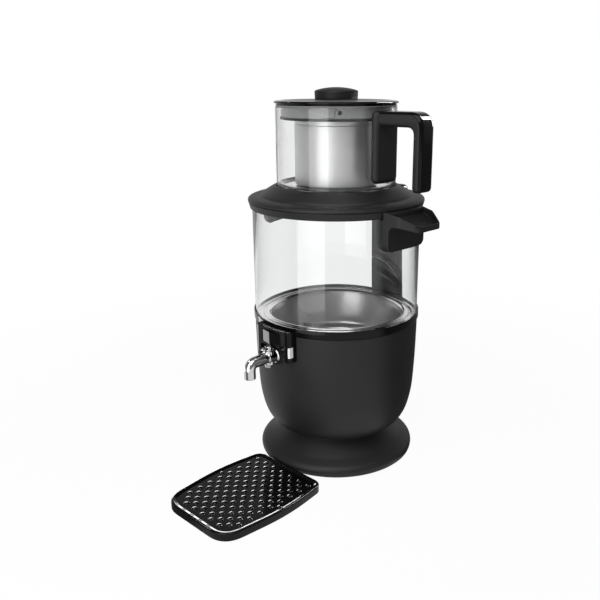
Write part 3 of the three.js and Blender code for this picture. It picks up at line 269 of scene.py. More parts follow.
finishes = {
    "black_matte_plastic": (mouldedPlastic, {
        "shades": (0.0105, 0.0145), "roughness": (0.42, 0.56), "gloss": 0.36, "grainScale": 2600,
        "grainStrength": 0.25, "grainHeight": 0.00012, "broadScale": 14}),
    "black_gloss_plastic": (glossPlastic, {
        "shade": 0.0025, "dustShade": 0.03, "roughness": 0.05, "wipe": 0.05, "gloss": 0.2,
        "rippleScale": 55, "rippleStrength": 0.05, "rippleHeight": 0.0006, "dustScale": 2400,
        "dustFrom": 0.76, "wipeScale": 18}),
    "brushed_steel": (brushedMetal, {
        "shades": (0.56, 0.62), "tint": (1.0, 0.995, 0.985), "roughness": (0.07, 0.12),
        "streakLength": 0.05, "streakWidth": 0.0004, "streakStrength": 0.03,
        "streakHeight": 0.00004, "broadScale": 20}),
    # A darker, rougher copy of brushed_steel for the inside of the bowl: its darker shade is painted shade
    # for the dark surroundings that the bowl mirrors.
    "bowl_steel_painted_shade": (brushedMetal, {
        "shades": (0.4, 0.46), "tint": (1.0, 0.995, 0.985), "roughness": (0.26, 0.32),
        "streakLength": 0.05, "streakWidth": 0.0004, "streakStrength": 0.04,
        "streakHeight": 0.00004, "broadScale": 20}),
    "basket_steel": (brushedMetal, {
        "shades": (0.62, 0.68), "tint": (1.0, 0.998, 0.99), "roughness": (0.4, 0.46),
        "streakLength": 0.05, "streakWidth": 0.0004, "streakStrength": 0.05,
        "streakHeight": 0.00004, "broadScale": 20}),
    "aluminium": (brushedMetal, {
        "shades": (0.55, 0.66), "tint": (1.0, 1.0, 1.02), "roughness": (0.42, 0.6),
        "streakLength": 0.004, "streakWidth": 0.002, "streakStrength": 0.2,
        "streakHeight": 0.0002, "broadScale": 60}),
    "chrome": (brushedMetal, {
        "shades": (0.62, 0.7), "tint": (1.0, 1.0, 1.01), "roughness": (0.02, 0.05),
        "streakLength": 0.02, "streakWidth": 0.006, "streakStrength": 0.02,
        "streakHeight": 0.0002, "broadScale": 90}),
    "black_rubber": (mouldedPlastic, {
        "shades": (0.006, 0.01), "roughness": (0.62, 0.85), "gloss": 0.3, "grainScale": 1500,
        "grainStrength": 0.35, "grainHeight": 0.0002, "broadScale": 40}),
    "clear_glass": (clearGlass, {
        "colour": (0.95, 0.957, 0.955), "shadow": (0.93, 0.94, 0.94), "ior": 1.47, "clear": 1.0,
        "wipe": 0.02, "wipeScale": 16}),
    "grey_translucent_plastic": (mouldedPlastic, {
        "shades": (0.2, 0.25), "roughness": (0.24, 0.4), "gloss": 0.5, "grainScale": 1800,
        "grainStrength": 0.1, "grainHeight": 0.0001, "broadScale": 25}),
    "black_satin_plastic": (mouldedPlastic, {
        "shades": (0.006, 0.009), "roughness": (0.3, 0.42), "gloss": 0.5, "grainScale": 2600,
        "grainStrength": 0.15, "grainHeight": 0.0001, "broadScale": 22}),
    "white_lens": (mouldedPlastic, {
        "shades": (0.8, 0.88), "roughness": (0.08, 0.16), "gloss": 0.5, "grainScale": 900,
        "grainStrength": 0.05, "grainHeight": 0.0001, "broadScale": 60}),
}
materials = {slot: make(slot, values) for slot, (make, values) in finishes.items()}
for node, cadObject in frame["nodes"].items():
    cadObject.data.materials.clear()
    cadObject.data.materials.append(materials[slotOf[node]])
print("materials made")


# Lines and outlines, in millimetres

# Outline corners are (x, y) or (x, y, reach), and a corner without a reach is sharp.
def withReach(corners):
    return np.array([(*corner, 0.0)[:3] for corner in corners], float)


# Each corner (x, y, reach) becomes a parabola from one reach before it to one reach after it. A
# reach takes less than half of the sides beside it.
def bent(corners, steps=6):
    corners = withReach(corners)
    here, reach = corners[:, :2], corners[:, 2:]
    back, ahead = np.roll(here, 1, 0) - here, np.roll(here, -1, 0) - here
    backLength = np.linalg.norm(back, axis=1, keepdims=True)
    aheadLength = np.linalg.norm(ahead, axis=1, keepdims=True)
    reach = np.clip(np.minimum(reach, np.minimum(backLength, aheadLength) * 0.499), 1e-6, None)
    start, end = here + back / backLength * reach, here + ahead / aheadLength * reach
    t = np.linspace(0, 1, steps + 1)[None, :, None]
    points = (1 - t) ** 2 * start[:, None] + 2 * t * (1 - t) * here[:, None] + t ** 2 * end[:, None]
    return points.reshape(-1, 2)


# The same for an open line, whose first and last corners stay as they are.
def bentLine(corners, steps=6):
    line = bent(corners, steps)[steps:-steps]
    line[0], line[-1] = corners[0][:2], corners[-1][:2]
    return line


# A smooth curve through the points: Catmull-Rom cubics, with the slope at each point that of the
# line between its neighbours.
def flowing(points, steps=8):
    points = np.array(points, float)
    padded = np.vstack([2 * points[0] - points[1], points, 2 * points[-1] - points[-2]])
    before, start, end, after = (padded[i:len(padded) - 3 + i][:, None] for i in range(4))
    t = np.linspace(0, 1, steps, endpoint=False)[None, :, None]
    curve = 0.5 * (2 * start + (end - before) * t + (2 * before - 5 * start + 4 * end - after) * t ** 2
                   + (3 * start - before - 3 * end + after) * t ** 3)
    return np.vstack([curve.reshape(-1, points.shape[1]), points[-1]])


# The line moved to its left by a wall's thickness, square to its own direction.
def beside(line, wall):
    slope = np.gradient(line, axis=0)
    slope /= np.linalg.norm(slope, axis=1, keepdims=True)
    return line + wall * np.stack([-slope[:, 1], slope[:, 0]], axis=1)


# Corners (x, y, reach) of a closed outline drawn in by a distance: each slides along its mitre,
# and its reach shortens by the distance times the tangent of half the turn.
def drawnIn(corners, inward, leastReach=0.05):
    corners = withReach(corners)
    here = corners[:, :2]
    first, second = here - np.roll(here, 1, 0), np.roll(here, -1, 0) - here
    first /= np.linalg.norm(first, axis=1, keepdims=True)
    second /= np.linalg.norm(second, axis=1, keepdims=True)
    dot = (first * second).sum(axis=1)
    cross = first[:, 0] * second[:, 1] - first[:, 1] * second[:, 0]
    normals = np.stack([-first[:, 1] - second[:, 1], first[:, 0] + second[:, 0]], axis=1)
    moved = here + inward * normals / (1 + dot)[:, None]
    reach = np.maximum(corners[:, 2] - inward * cross / (1 + dot), leastReach)
    return np.column_stack([moved, reach])


# Surfaces and meshes

# Quads between neighbouring points of a grid. Each row closes on itself, and so do the columns of
# a closed grid.
def gridFaces(rows, columns, closedRows=False):
    row = np.arange(rows if closedRows else rows - 1)[:, None]
    column = np.arange(columns)[None, :]
    nextRow, nextColumn = (row + 1) % rows, (column + 1) % columns
    corners = [row * columns + column, row * columns + nextColumn,
               nextRow * columns + nextColumn, nextRow * columns + column]
    return np.stack(np.broadcast_arrays(*corners), axis=-1).reshape(-1, 4).tolist()


# Rings of points as a solid: quads from ring to ring, and one face over the first and the last.
def ringed(rings):
    columns, last = len(rings[0]), (len(rings) - 1) * len(rings[0])
    faces = gridFaces(len(rings), columns)
    faces += [list(range(columns))[::-1], [last + i for i in range(columns)]]
    return np.vstack(rings), faces


# A closed profile of (radius, height) turned about an upright axis at centre: the points are
# centre + radius (cos t, sin t) at the profile's height, for each turn t.
def turned(profile, sides=128, centre=(0.0, 0.0)):
    profile = np.array(profile, float)
    r, z = profile.T
    if np.sum(r * np.roll(z, -1) - np.roll(r, -1) * z) < 0:
        r, z = r[::-1], z[::-1]
    angle = np.arange(sides) * 2 * math.pi / sides
    points = np.stack([
        centre[0] + np.outer(r, np.cos(angle)), centre[1] + np.outer(r, np.sin(angle)),
        np.repeat(z[:, None], sides, axis=1)], axis=-1)
    onAxis = max(r[0], r[-1]) < 1e-6
    return points.reshape(-1, 3), gridFaces(len(r), sides, not onAxis)


# The same turned about the line along Y at a height: the profile is (radius, y).
def turnedAlongY(profile, height, sides=64):
    points, faces = turned(profile, sides)
    x, y, z = points.T
    return np.stack([x, z, height - y], axis=1), faces


# An outline of corners (x, y, reach) carried up a profile: at each of its points (inward, z) the
# outline lies at height z, drawn in by inward. Its ends are flat.
def rimmed(corners, profile, steps=6):
    outlines = [bent(drawnIn(corners, inward), steps) for inward, z in profile]
    return ringed([np.column_stack([outline, np.full(len(outline), z)])
                   for outline, (inward, z) in zip(outlines, profile)])


# A quarter circle at each end of a height, as (drawn in, height) points.
def softEnds(low, high, edge, steps=4):
    turn = np.linspace(0, math.pi / 2, steps + 1)
    inward = edge * (1 - np.sin(turn))
    foot = np.column_stack([inward, low + edge * (1 - np.cos(turn))])
    head = np.column_stack([inward, high - edge * (1 - np.cos(turn))])[::-1]
    return np.vstack([foot, head])


# Shapes laid on their side
def alongX(shape):  # an outline in (y, z) and heights in x
    points, faces = shape
    return points[:, [2, 0, 1]], faces


def alongY(shape):  # an outline in (x, z) and heights in -y
    points, faces = shape
    return np.stack([points[:, 0], -points[:, 2], points[:, 1]], axis=1), faces


# Several shapes as one.
def together(*shapes):
    points, faces, count = [], [], 0
    for shapePoints, shapeFaces in shapes:
        points.append(shapePoints)
        faces += [[i + count for i in face] for face in shapeFaces]
        count += len(shapePoints)
    return np.vstack(points), faces


# Works on a mesh in place.
def reworked(mesh, change):
    work = bmesh.new()
    work.from_mesh(mesh)
    change(work)
    work.to_mesh(mesh)
    work.free()
    return mesh


# Joins the corners of a mesh that lie within a distance in metres of each other.
def merged(mesh, distance):
    return reworked(mesh, lambda work: bmesh.ops.remove_doubles(work, verts=work.verts, dist=distance))


# An object for the data, in the scene.
def linked(name, data):
    piece = bpy.data.objects.new(name, data)
    bpy.context.collection.objects.link(piece)
    return piece


# A shape, which is its points in millimetres and its faces, as an object.
def objectFrom(name, shape):
    points, faces = shape
    mesh = bpy.data.meshes.new(name)
    mesh.from_pydata((points / metre).tolist(), [], faces)
    return linked(name, merged(mesh, 2e-6))


# Makes a piece's modifiers part of its mesh.
def applied(piece):
    graph = bpy.context.evaluated_depsgraph_get()
    mesh = bpy.data.meshes.new_from_object(piece.evaluated_get(graph))
    piece.modifiers.clear()
    piece.data = mesh
    return piece


# Adds a modifier with its settings.
def withModifier(piece, kind, **settings):
    modifier = piece.modifiers.new(kind.title(), kind)
    for key, value in settings.items():
        setattr(modifier, key, value)
    return piece


# Cuts shapes out of a piece, joins them to it, or keeps only what lies in them.
def cutBy(piece, *shapes, operation="DIFFERENCE", solver="EXACT"):
    for shape in shapes:
        tool = objectFrom("tool", shape)
        withModifier(piece, "BOOLEAN", object=tool, operation=operation, solver=solver)
        applied(piece)
        bpy.data.objects.remove(tool)
    return piece


# Edges sharper than the angle get a round bevel.
def eased(piece, width, angle=35, segments=3):
    withModifier(piece, "BEVEL", width=width / metre, segments=segments, limit_method="ANGLE",
                 angle_limit=math.radians(angle), use_clamp_overlap=True)
    return applied(piece)


# A solid rounded all over like a moulding: rebuilt on a fine lattice, smoothed, and kept within
# the box that it had.
def moulded(piece, lattice, rounds):
    before = cornersOf(piece)
    withModifier(piece, "REMESH", mode="VOXEL", voxel_size=lattice / metre)
    withModifier(piece, "SMOOTH", factor=0.5, iterations=rounds)
    applied(piece)
    inside = np.clip(cornersOf(piece), before.min(axis=0), before.max(axis=0))
    piece.data.vertices.foreach_set("co", inside.ravel())
    return piece


# A piece's corners, one to a row, in metres.
def cornersOf(piece):
    corners = np.empty(len(piece.data.vertices) * 3, dtype=np.float32)
    piece.data.vertices.foreach_get("co", corners)
    return corners.reshape(-1, 3)


# A copy of a CAD node's solid, with its triangles merged.
def copyOf(node, name):
    return linked(name, merged(frame["nodes"][node].data.copy(), 1e-6))


# Turns a closed piece's faces outwards.
def faceOutwards(piece):
    reworked(piece.data, lambda work: bmesh.ops.recalc_face_normals(work, faces=work.faces))
    return piece


# Gives a piece its finish, and the place and body of the node that it stands for.
def finished(piece, *nodes, sharpAngle=32, flatFaces=True, finish=None):
    mesh = piece.data
    mesh.materials.clear()
    mesh.materials.append(materials[finish or slotOf[nodes[0]]])
    mesh.shade_smooth()
    mesh.set_sharp_from_angle(angle=math.radians(sharpAngle))
    if flatFaces:
        withModifier(piece, "WEIGHTED_NORMAL", keep_sharp=True, weight=60)
    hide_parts(*nodes)
    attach(piece, bodyOf[nodes[0]])
    return piece


# Gives another finish to the faces that a test of their middles (mm) and normals picks.
def painted(piece, finish, test):
    mesh = piece.data
    mesh.materials.append(materials[finish])
    count = len(mesh.polygons)
    middle, facing = np.empty(count * 3, np.float32), np.empty(count * 3, np.float32)
    mesh.polygons.foreach_get("center", middle)
    mesh.polygons.foreach_get("normal", facing)
    picked = test(middle.reshape(-1, 3) * metre, facing.reshape(-1, 3))
    finishOf = np.empty(count, np.int32)
    mesh.polygons.foreach_get("material_index", finishOf)
    finishOf[picked] = len(mesh.materials) - 1
    mesh.polygons.foreach_set("material_index", finishOf)
    return piece


# A finished piece turned from a profile.
def turnedPiece(name, profile, *nodes, finish=None, **settings):
    return finished(objectFrom(name, turned(profile, **settings)), *nodes, flatFaces=False,
                    finish=finish)


# Base

neck = {"radius": 58.5, "wireHole": 38.0}  # where the pedestal carries the housing
pedestal = {
    "wall": 2.6, "opening": 76.3,
    # shares of the way from neck to rim, and of the height
    "shares": [(0.88, 0), (0.97, 0.035), (1, 0.15), (0.98, 0.255), (0.9, 0.345), (0.75, 0.425),
               (0.58, 0.51), (0.38, 0.64), (0.2, 0.78), (0.07, 0.9), (0, 1)],
}


# The outside of a node between the neck and its full radius, and the inside, a wall away from it.
def neckedWall(node, values, steps):
    low, high = heightsOf(node)
    full, wall = radiusOf(node), values["wall"]
    outer = flowing([(neck["radius"] + out * (full - neck["radius"]), low + up * (high - low))
                     for out, up in values["shares"]], steps)
    inner = beside(outer, wall)
    return outer, inner[(inner[:, 1] > low + wall) & (inner[:, 1] < high - wall)][::-1]


# Turned: the waisted outside, the wire hole through its top, and the inside of its wall.
def makePedestal(values):
    low, high = heightsOf("pedestal")
    outer, inner = neckedWall("pedestal", values, 8)
    wall, hole = values["wall"], neck["wireHole"]
    turnedPiece("pedestal_moulding", np.vstack([
        [(values["opening"], low)], outer, [(hole, high), (hole, high - wall)],
        [(neck["radius"] - wall, high - wall)], inner, [(values["opening"], low + wall)]]),
        "pedestal", sides=160)


makePedestal(pedestal)

housing = {
    "wall": 2.8, "rimRound": 0.8,
    "shares": [(0, 0), (0.17, 0.012), (0.4, 0.04), (0.6, 0.094), (0.745, 0.17), (0.845, 0.27),
               (0.91, 0.385), (0.955, 0.575), (0.98, 0.75), (1, 1)],
}


# Turned: a round bottom and side, a soft rim, and the inside of its wall.
def makeHousing(values):
    low, high = heightsOf("lower_housing")
    outer, inner = neckedWall("lower_housing", values, 12)
    full, wall, hole = radiusOf("lower_housing"), values["wall"], neck["wireHole"]
    rim = bentLine([outer[-2], (full, high, values["rimRound"]), (full - wall, high)])[1:]
    turnedPiece("lower_housing_shell", np.vstack([
        [(hole, low)], outer[:-1], rim, inner, [(neck["radius"] - wall, low + wall), (hole, low + wall)]]),
        "lower_housing", sides=160)


makeHousing(housing)

trimRing = {"seat": 3.5, "seatWidth": 9.0, "edge": 1.1, "innerEdge": 0.5}


# Turned: a ring with a seat cut into it, on which the glass stands.
def makeTrimRing(values):
    low, high = heightsOf("trim_ring")
    outer, glass = radiusOf("trim_ring"), radiusOf("glass_vessel") + fit
    inner = outer - values["seatWidth"]
    turnedPiece("trim_ring_gloss", bent([
        (inner, low), (outer, low, values["edge"]), (outer, high, values["edge"]),
        (glass, high, values["innerEdge"]), (glass, low + values["seat"]),
        (inner, low + values["seat"])]), "trim_ring", sides=160)


makeTrimRing(trimRing)
print("base and housing made")

# Glass vessel, heated bowl, collar and lid

vesselGlass = {"wall": 3.0, "rimRound": 1.4}


# Turned: a plain tube with round rims.
def makeVessel(values):
    low, high = heightsOf("glass_vessel")
    outer, soft = radiusOf("glass_vessel"), values["rimRound"]
    inner = outer - values["wall"]
    turnedPiece("vessel_tube", bent([
        (inner, low, soft), (outer, low, soft), (outer, high, soft), (inner, high, soft)]),
        "glass_vessel", sides=192)


makeVessel(vesselGlass)

bowl = {
    "sheet": 1.2,
    # outer radius, inner radius, and depth or rise
    "groove": (85.0, 81.4, 1.5), "bead": (79.2, 76.0, 1.1),
    "mouth": 75.0, "mouthDrop": 1.2, "slopes": (0.8, 0.6, 0.4), "round": 0.8,
    "beadRound": 0.9, "crownRound": 0.7, "mouthRound": 1.0,
    "wallShares": [(1.0, 0.97), (0.976, 0.86), (0.948, 0.66), (0.92, 0.42), (0.9, 0.24)],
    "wallReach": 3.0, "floorRadius": 66.5, "floorReach": 6.0, "floorHeight": 3.7,
    "rings": [(56.8, 55.0, 3.7), (38.0, 37.0, -0.7), (33.0, 32.0, 0.7)],  # from, to, and drop
}


# Turned from a sheet: a line from the flange over a groove and a bead, down the wall and over the
# rings in the floor, and the same line a sheet's thickness to its side.
def makeBowl(values):
    low, high = heightsOf("steel_bowl")
    outer, sheet = radiusOf("steel_bowl"), values["sheet"]
    grooveOut, grooveIn, grooveDepth = values["groove"]
    beadOut, beadIn, beadRise = values["bead"]
    floor = low + sheet + values["floorHeight"]
    grooveSlope, beadSlope, mouthSlope = values["slopes"]
    soft, beadSoft, mouth = values["round"], values["beadRound"], values["mouth"]
    line = [(outer, high), (grooveOut, high, soft), (grooveOut - grooveSlope, high - grooveDepth, soft),
            (grooveIn + grooveSlope, high - grooveDepth, soft), (grooveIn, high, soft),
            (beadOut, high, beadSoft), (beadOut - beadSlope, high + beadRise, values["crownRound"]),
            (beadIn + mouthSlope, high + beadRise, beadSoft),
            (mouth, high - values["mouthDrop"], values["mouthRound"])]
    line += [(out * mouth, floor + up * (high - floor), values["wallReach"])
             for out, up in values["wallShares"]]
    line.append((values["floorRadius"], floor, values["floorReach"]))
    height = floor
    for start, end, drop in values["rings"]:
        line += [(start, height, soft), (end, height - drop, soft)]
        height -= drop
    line.append((0, height))
    top = bentLine(line, 5)
    # corners whose rounds meet leave the same point twice
    top = top[np.append(True, np.linalg.norm(np.diff(top, axis=0), axis=1) > 1e-3)]
    under = beside(top, sheet)
    under[0], under[-1] = (outer, high - sheet), (0, height - sheet)
    piece = turnedPiece("bowl_pressing", np.vstack([top[::-1], under]), "steel_bowl", sides=160)
    # Inside the mouth the steel takes the darker copy, as painted shade.
    painted(piece, "bowl_steel_painted_shade", lambda middle, facing: (
        np.hypot(middle[:, 0], middle[:, 1]) < values["mouth"]))


makeBowl(bowl)

collar = {
    "wall": 1.9, "land": 2.8, "opening": 85.5, "edge": 0.9, "innerEdge": 0.5, "hollow": 0.9,
    "hollowReach": 2.0,
}


# Turned: a wall that leans out from the glass to the top, and a land over the glass's rim.
def makeCollar(values):
    low, high = heightsOf("collar")
    outer, glass = radiusOf("collar"), radiusOf("glass_vessel") + fit
    roof, soft, crisp = high - values["land"], values["edge"], values["innerEdge"]
    foot, opening = glass + values["wall"], values["opening"]
    turnedPiece("collar_moulding", bent([
        (glass, low, crisp), (foot, low, soft),
        (foot + values["hollow"], (low + high) / 2, values["hollowReach"]), (outer, high, soft),
        (opening, high, crisp), (opening, roof), (glass, roof)]), "collar", sides=160)


makeCollar(collar)

vesselLid = {
    "notchRadius": 82.7, "shell": 2.6, "seatDepth": 4.3, "steamHole": 30.0, "gap": 0.6,
    "skirt": 9.0, "skirtRound": 0.5, "edge": 0.6, "mouthRound": 0.3, "inset": 1.0, "footRound": 0.8,
    "flangeShares": [(1, 0.02), (1.0, 0.09), (0.965, 0.165), (0.88, 0.225), (0.7, 0.285),
                     (0.45, 0.328), (0.2, 0.35), (0.02, 0.352)],
    "domeShares": [(0.02, 0.42), (0.1, 0.495), (0.24, 0.585), (0.45, 0.72), (0.68, 0.86),
                   (0.88, 0.965), (0.98, 1.0)],
}


# Turned: a flange that curls up to a notch, the dome from there to the teapot's seat, and the inside
# of the shell with the skirt that drops into the collar.
def makeVesselLid(values):
    bottom, crown = heightsOf("vessel_lid")
    rim, shell = radiusOf("vessel_lid"), values["shell"]
    foot = bottom + values["skirt"]
    mouth = radiusOf("teapot_glass") + values["gap"]
    skirt = collar["opening"] - values["gap"]
    notch, rise, hole = values["notchRadius"], crown - foot, values["steamHole"]
    flange = flowing([(notch + out * (rim - notch), foot + up * rise)
                      for out, up in values["flangeShares"]])
    dome = flowing([(notch - along * (notch - mouth), foot + up * rise)
                    for along, up in values["domeShares"]])
    seat = crown - values["seatDepth"]
    crisp, edge, inset, skirtSoft = (values[key] for key in ("mouthRound", "edge", "inset", "skirtRound"))
    inside = bent([
        (mouth + edge, crown, crisp), (mouth, crown - edge, crisp), (mouth, seat, inset),
        (hole, seat, edge), (hole, seat - shell, edge), (mouth - shell, seat - shell, 2 * inset),
        (skirt - shell, foot + shell / 2, 2 * inset), (skirt - shell, bottom, skirtSoft),
        (skirt, bottom, skirtSoft), (skirt, foot, values["footRound"]), (rim - inset, foot)], 6)
    # the dome runs into the middle of the first round, and the last corner is sharp
    turnedPiece("vessel_lid_moulding", np.vstack([flange, dome, inside[3:-6]]), "vessel_lid",
                sides=160)


makeVesselLid(vesselLid)
print("vessel made")

# Teapot, strainer and lid

potGlass = {"wall": 2.5, "floor": 3.5, "foot": 4.5, "insideFoot": 5.0, "rimRound": 1.2}
potRadius = radiusOf("strainer_collar") + fit


# Turned: a cup with a thick floor and round rim and foot.
def makePot(values):
    low, high = heightsOf("teapot_glass")
    inner, soft, floor = potRadius - values["wall"], values["rimRound"], low + values["floor"]
    turnedPiece("teapot_cup", bentLine([
        (0, low), (potRadius, low, values["foot"]), (potRadius, high, soft), (inner, high, soft),
        (inner, floor, values["insideFoot"]), (0, floor)], 8), "teapot_glass", sides=160)


makePot(potGlass)

strainer = {
    "radius": 59.0, "wall": 1.5, "flange": 1.2, "drop": 11.1, "edge": 0.4, "rimEdge": 0.5,
    "footEdge": 0.6, "lip": 6.0,
    # the pouring gate: a tab on the outer wall with a slot beside it, at these turns from +X
    "tabTurn": -0.93, "slotTurn": -0.76, "tabHalf": 5.0, "tabDepth": 1.6, "tabRise": 1.0,
    "slotHalf": 1.7, "slotRise": 3.6, "slotHeight": 4.0,
}


# Turned: a wall with a flange at its top and a ledge for the basket's lip. Then the slot is cut out
# of it and the tab joined to it.
def makeStrainerCollar(values):
    low, high = heightsOf("strainer_collar")
    flange, outer, edge = radiusOf("strainer_collar"), values["radius"], values["edge"]
    wall, under = outer - values["wall"], high - values["flange"]
    foot, rimEdge = under - values["drop"], values["rimEdge"]
    inner = radiusOf("strainer_basket") - values["lip"] + fit
    piece = objectFrom("strainer_collar_moulding", turned(bent([
        (inner, low, edge), (wall, low, values["footEdge"]), (wall, foot, edge / 2),
        (outer, foot, edge), (outer, under, rimEdge), (flange, under, edge), (flange, high, edge),
        (wall, high, rimEdge), (wall, foot + fit, 2 * edge), (inner, foot + fit, edge)]), 160))
    slotFoot = foot + values["slotRise"]
    slot = spunRound(wall - 1, outer + 1, values["slotHalf"], 0, values["slotTurn"])
    tab = spunRound((outer + wall) / 2, outer + values["tabDepth"], values["tabHalf"],
                    values["footEdge"], values["tabTurn"])
    cutBy(piece, rimmed(slot, [(0, slotFoot), (0, slotFoot + values["slotHeight"])]))
    cutBy(piece, rimmed(tab, softEnds(foot + values["tabRise"], high - edge, edge)), operation="UNION")
    finished(piece, "strainer_collar", flatFaces=False)


# A block between two radii, half as wide as half says to either side, turned about the axis.
def spunRound(near, far, half, reach, turn):
    corners = np.array([(near, -half), (far, -half), (far, half), (near, half)])
    spin = np.array([(math.cos(turn), math.sin(turn)), (-math.sin(turn), math.cos(turn))])
    return np.column_stack([corners @ spin, np.full(4, reach)])


makeStrainerCollar(strainer)


# A ring of round section.
def makeSealRing():
    low, high = heightsOf("strainer_seal")
    outer, thick = radiusOf("strainer_seal"), (high - low) / 2
    turn = np.arange(16) * math.pi / 8
    turnedPiece("strainer_seal_ring", np.column_stack([
        outer - thick + thick * np.cos(turn), (low + high) / 2 + thick * np.sin(turn)]),
        "strainer_seal", sides=128)


makeSealRing()

basket = {
    "lip": 6.0, "sheet": 0.8, "lipEdge": 0.35, "lipReach": 0.6, "mouthRound": 0.9, "foot": 2.2,
    "holeRadius": 0.9, "holePitch": 3.1, "holeField": 40.0, "holeSides": 10,
    "rodPast": 1.0,  # how far the rods that cut the holes go past the floor
    # how far the band goes down from the lip, how far it stands in, and the step that ends it
    "band": (8.5, 0.35), "bandStep": 0.6, "bandRound": 0.3,
}


# Turned from a sheet: a cup with a lip, a band that stands in under it, and holes in its floor.
def makeBasket(values):
    low, high = heightsOf("strainer_basket")
    outer, sheet = radiusOf("strainer_basket") - values["lip"], values["sheet"]
    lip = high - sheet
    bandDrop, bandIn = values["band"]
    band, soft = lip - bandDrop, values["bandRound"]
    bandFoot, inside = band - values["bandStep"], outer - sheet
    profile = bentLine([
        (0, low), (outer, low, values["foot"]), (outer, bandFoot, soft), (outer - bandIn, band, soft),
        (outer - bandIn, lip, values["lipReach"]), (outer + values["lip"], lip, values["lipEdge"]),
        (outer + values["lip"], high, values["lipEdge"]), (inside - bandIn, high, values["mouthRound"]),
        (inside - bandIn, band, soft), (inside, bandFoot, soft),
        (inside, low + sheet, values["foot"] - sheet), (0, low + sheet)])
    piece = objectFrom("strainer_basket_pressing", turned(profile, 128))
    past = values["rodPast"]
    cutBy(piece, basketHoles(values, low - past, low + sheet + past))
    finished(piece, "strainer_basket", flatFaces=False, finish="basket_steel")


# Small rods on a triangular lattice, each turned from the same profile: rod (i, j) stands at
# pitch (i + j / 2, j root 3 / 2).
def basketHoles(values, low, high):
    pitch, field = values["holePitch"], values["holeField"]
    count = int(field / pitch) + 1
    steps = np.arange(-2 * count, 2 * count + 1)
    i, j = np.meshgrid(steps, steps)
    x, y = pitch * (i + j / 2).ravel(), pitch * (j * math.sqrt(3) / 2).ravel()
    kept = np.hypot(x, y) < field
    r = values["holeRadius"]
    rod = [(0, low), (r, low), (r, high), (0, high)]
    return together(*[turned(rod, values["holeSides"], (a, b)) for a, b in zip(x[kept], y[kept])])


makeBasket(basket)

potLid = {
    "skirt": 1.4, "shell": 2.4, "screwHole": 1.9, "stepRadius": 63.6, "satin": 58.5, "edge": 0.4,
    "skirtEdge": 0.3, "stepSlope": 0.3, "insideRound": 1.0, "upright": 0.5,
    "shares": [(0.985, 0.26), (0.997, 0.31), (1.0, 0.42), (0.998, 0.56), (0.985, 0.7),
               (0.958, 0.79), (0.93, 0.83), (0.9, 0.84), (0.86, 0.87), (0.7, 0.95), (0.36, 1.0)],
}


# Turned: a low dished cap, stepped underneath, with a skirt that drops into the strainer.
def makePotLid(values):
    bottom, top = heightsOf("teapot_lid")
    rim, shell, hole = radiusOf("teapot_lid"), values["shell"], values["screwHole"]
    foot = bottom + values["skirt"]
    outer = flowing([(out * rim, foot + up * (top - foot)) for out, up in values["shares"]])
    skirt, edge = strainer["radius"] - strainer["wall"] - fit, values["edge"]
    step, under = values["stepRadius"], outer[0][1]
    inside = bent([
        (hole, top), (hole, top - shell), (skirt - shell, top - shell, values["insideRound"]),
        (skirt - shell, bottom, edge), (skirt, bottom, edge), (skirt, foot, values["skirtEdge"]),
        (step, foot, edge), (step + values["stepSlope"], under, edge),
        (outer[0][0] - edge, under, edge / 2)], 5)
    piece = objectFrom("teapot_lid_gloss", turned(np.vstack([outer, inside]), 160))
    finished(piece, "teapot_lid", flatFaces=False)
    painted(piece, "black_satin_plastic", lambda middle, facing: (
        np.hypot(middle[:, 0], middle[:, 1]) < values["satin"]) & (facing[:, 2] > values["upright"]))


makePotLid(potLid)

knob = {
    "hole": 1.9, "holeShare": 0.6,
    "shares": [(0.965, 0.0), (0.985, 0.05), (0.992, 0.3), (1.0, 0.56), (0.998, 0.64), (0.98, 0.7),
               (0.93, 0.745), (0.82, 0.81), (0.65, 0.885), (0.45, 0.945), (0.22, 0.988), (0, 1)],
}


# Turned: a low knob with a screw hole in its foot.
def makeKnob(values):
    low, high = heightsOf("lid_knob")
    radius, hole = radiusOf("lid_knob"), values["hole"]
    outer = flowing([(out * radius, low + up * (high - low)) for out, up in values["shares"]])
    holeTop = low + values["holeShare"] * (high - low)
    turnedPiece("lid_knob_moulding", np.vstack([
        outer, [(0, holeTop), (hole, holeTop), (hole, low)]]), "lid_knob", sides=128)


makeKnob(knob)
print("teapot made")

# Teapot handle: a plate on the glass, the arm and bar, and a gloss cover outside them

handle = {
    "plateHalf": 18.0, "plateRoot": 3.6, "plateSide": 66.4, "plateReach": 71.8,
    "plateTopCorner": 5.0, "plateFootCorner": 7.0, "plateFoot": 10.5, "plateDeep": 3.0,
    "barHalf": 11.5, "bar": 11.2, "arm": 15.0, "barFoot": 5.5, "corner": 17.0,
    "innerCorner": 8.0, "footCorner": 5.5, "edge": 4.8, "cover": 2.4, "coverGap": 0.35,
    "coverEdge": 0.3, "flare": 1.45, "lattice": 0.6, "rounds": 6, "past": 8.0,
}


# The arm and bar: their outline from the side, carried across with rounded edges. Widths grow by
# flare, in line with the way from the bar to the plate.
def handleBar(values):
    outer, top = boxOf("handle_cover")[1][[0, 2]]
    barInner, foot = outer - values["bar"], heightsOf("teapot_glass")[0] + values["barFoot"]
    start, armFoot = values["plateSide"], top - values["arm"]
    half, footCorner = values["barHalf"], values["footCorner"]
    side = [
        (start, armFoot), (barInner, armFoot, values["innerCorner"]), (barInner, foot, footCorner),
        (outer, foot, footCorner), (outer, top, values["corner"]), (start, top)]
    points, faces = alongY(rimmed(side, softEnds(-half, half, values["edge"], 7), 14))
    way = np.clip((barInner - points[:, 0]) / (barInner - values["plateReach"]), 0, 1)
    points[:, 1] *= 1 + (values["flare"] - 1) * way
    return points, faces


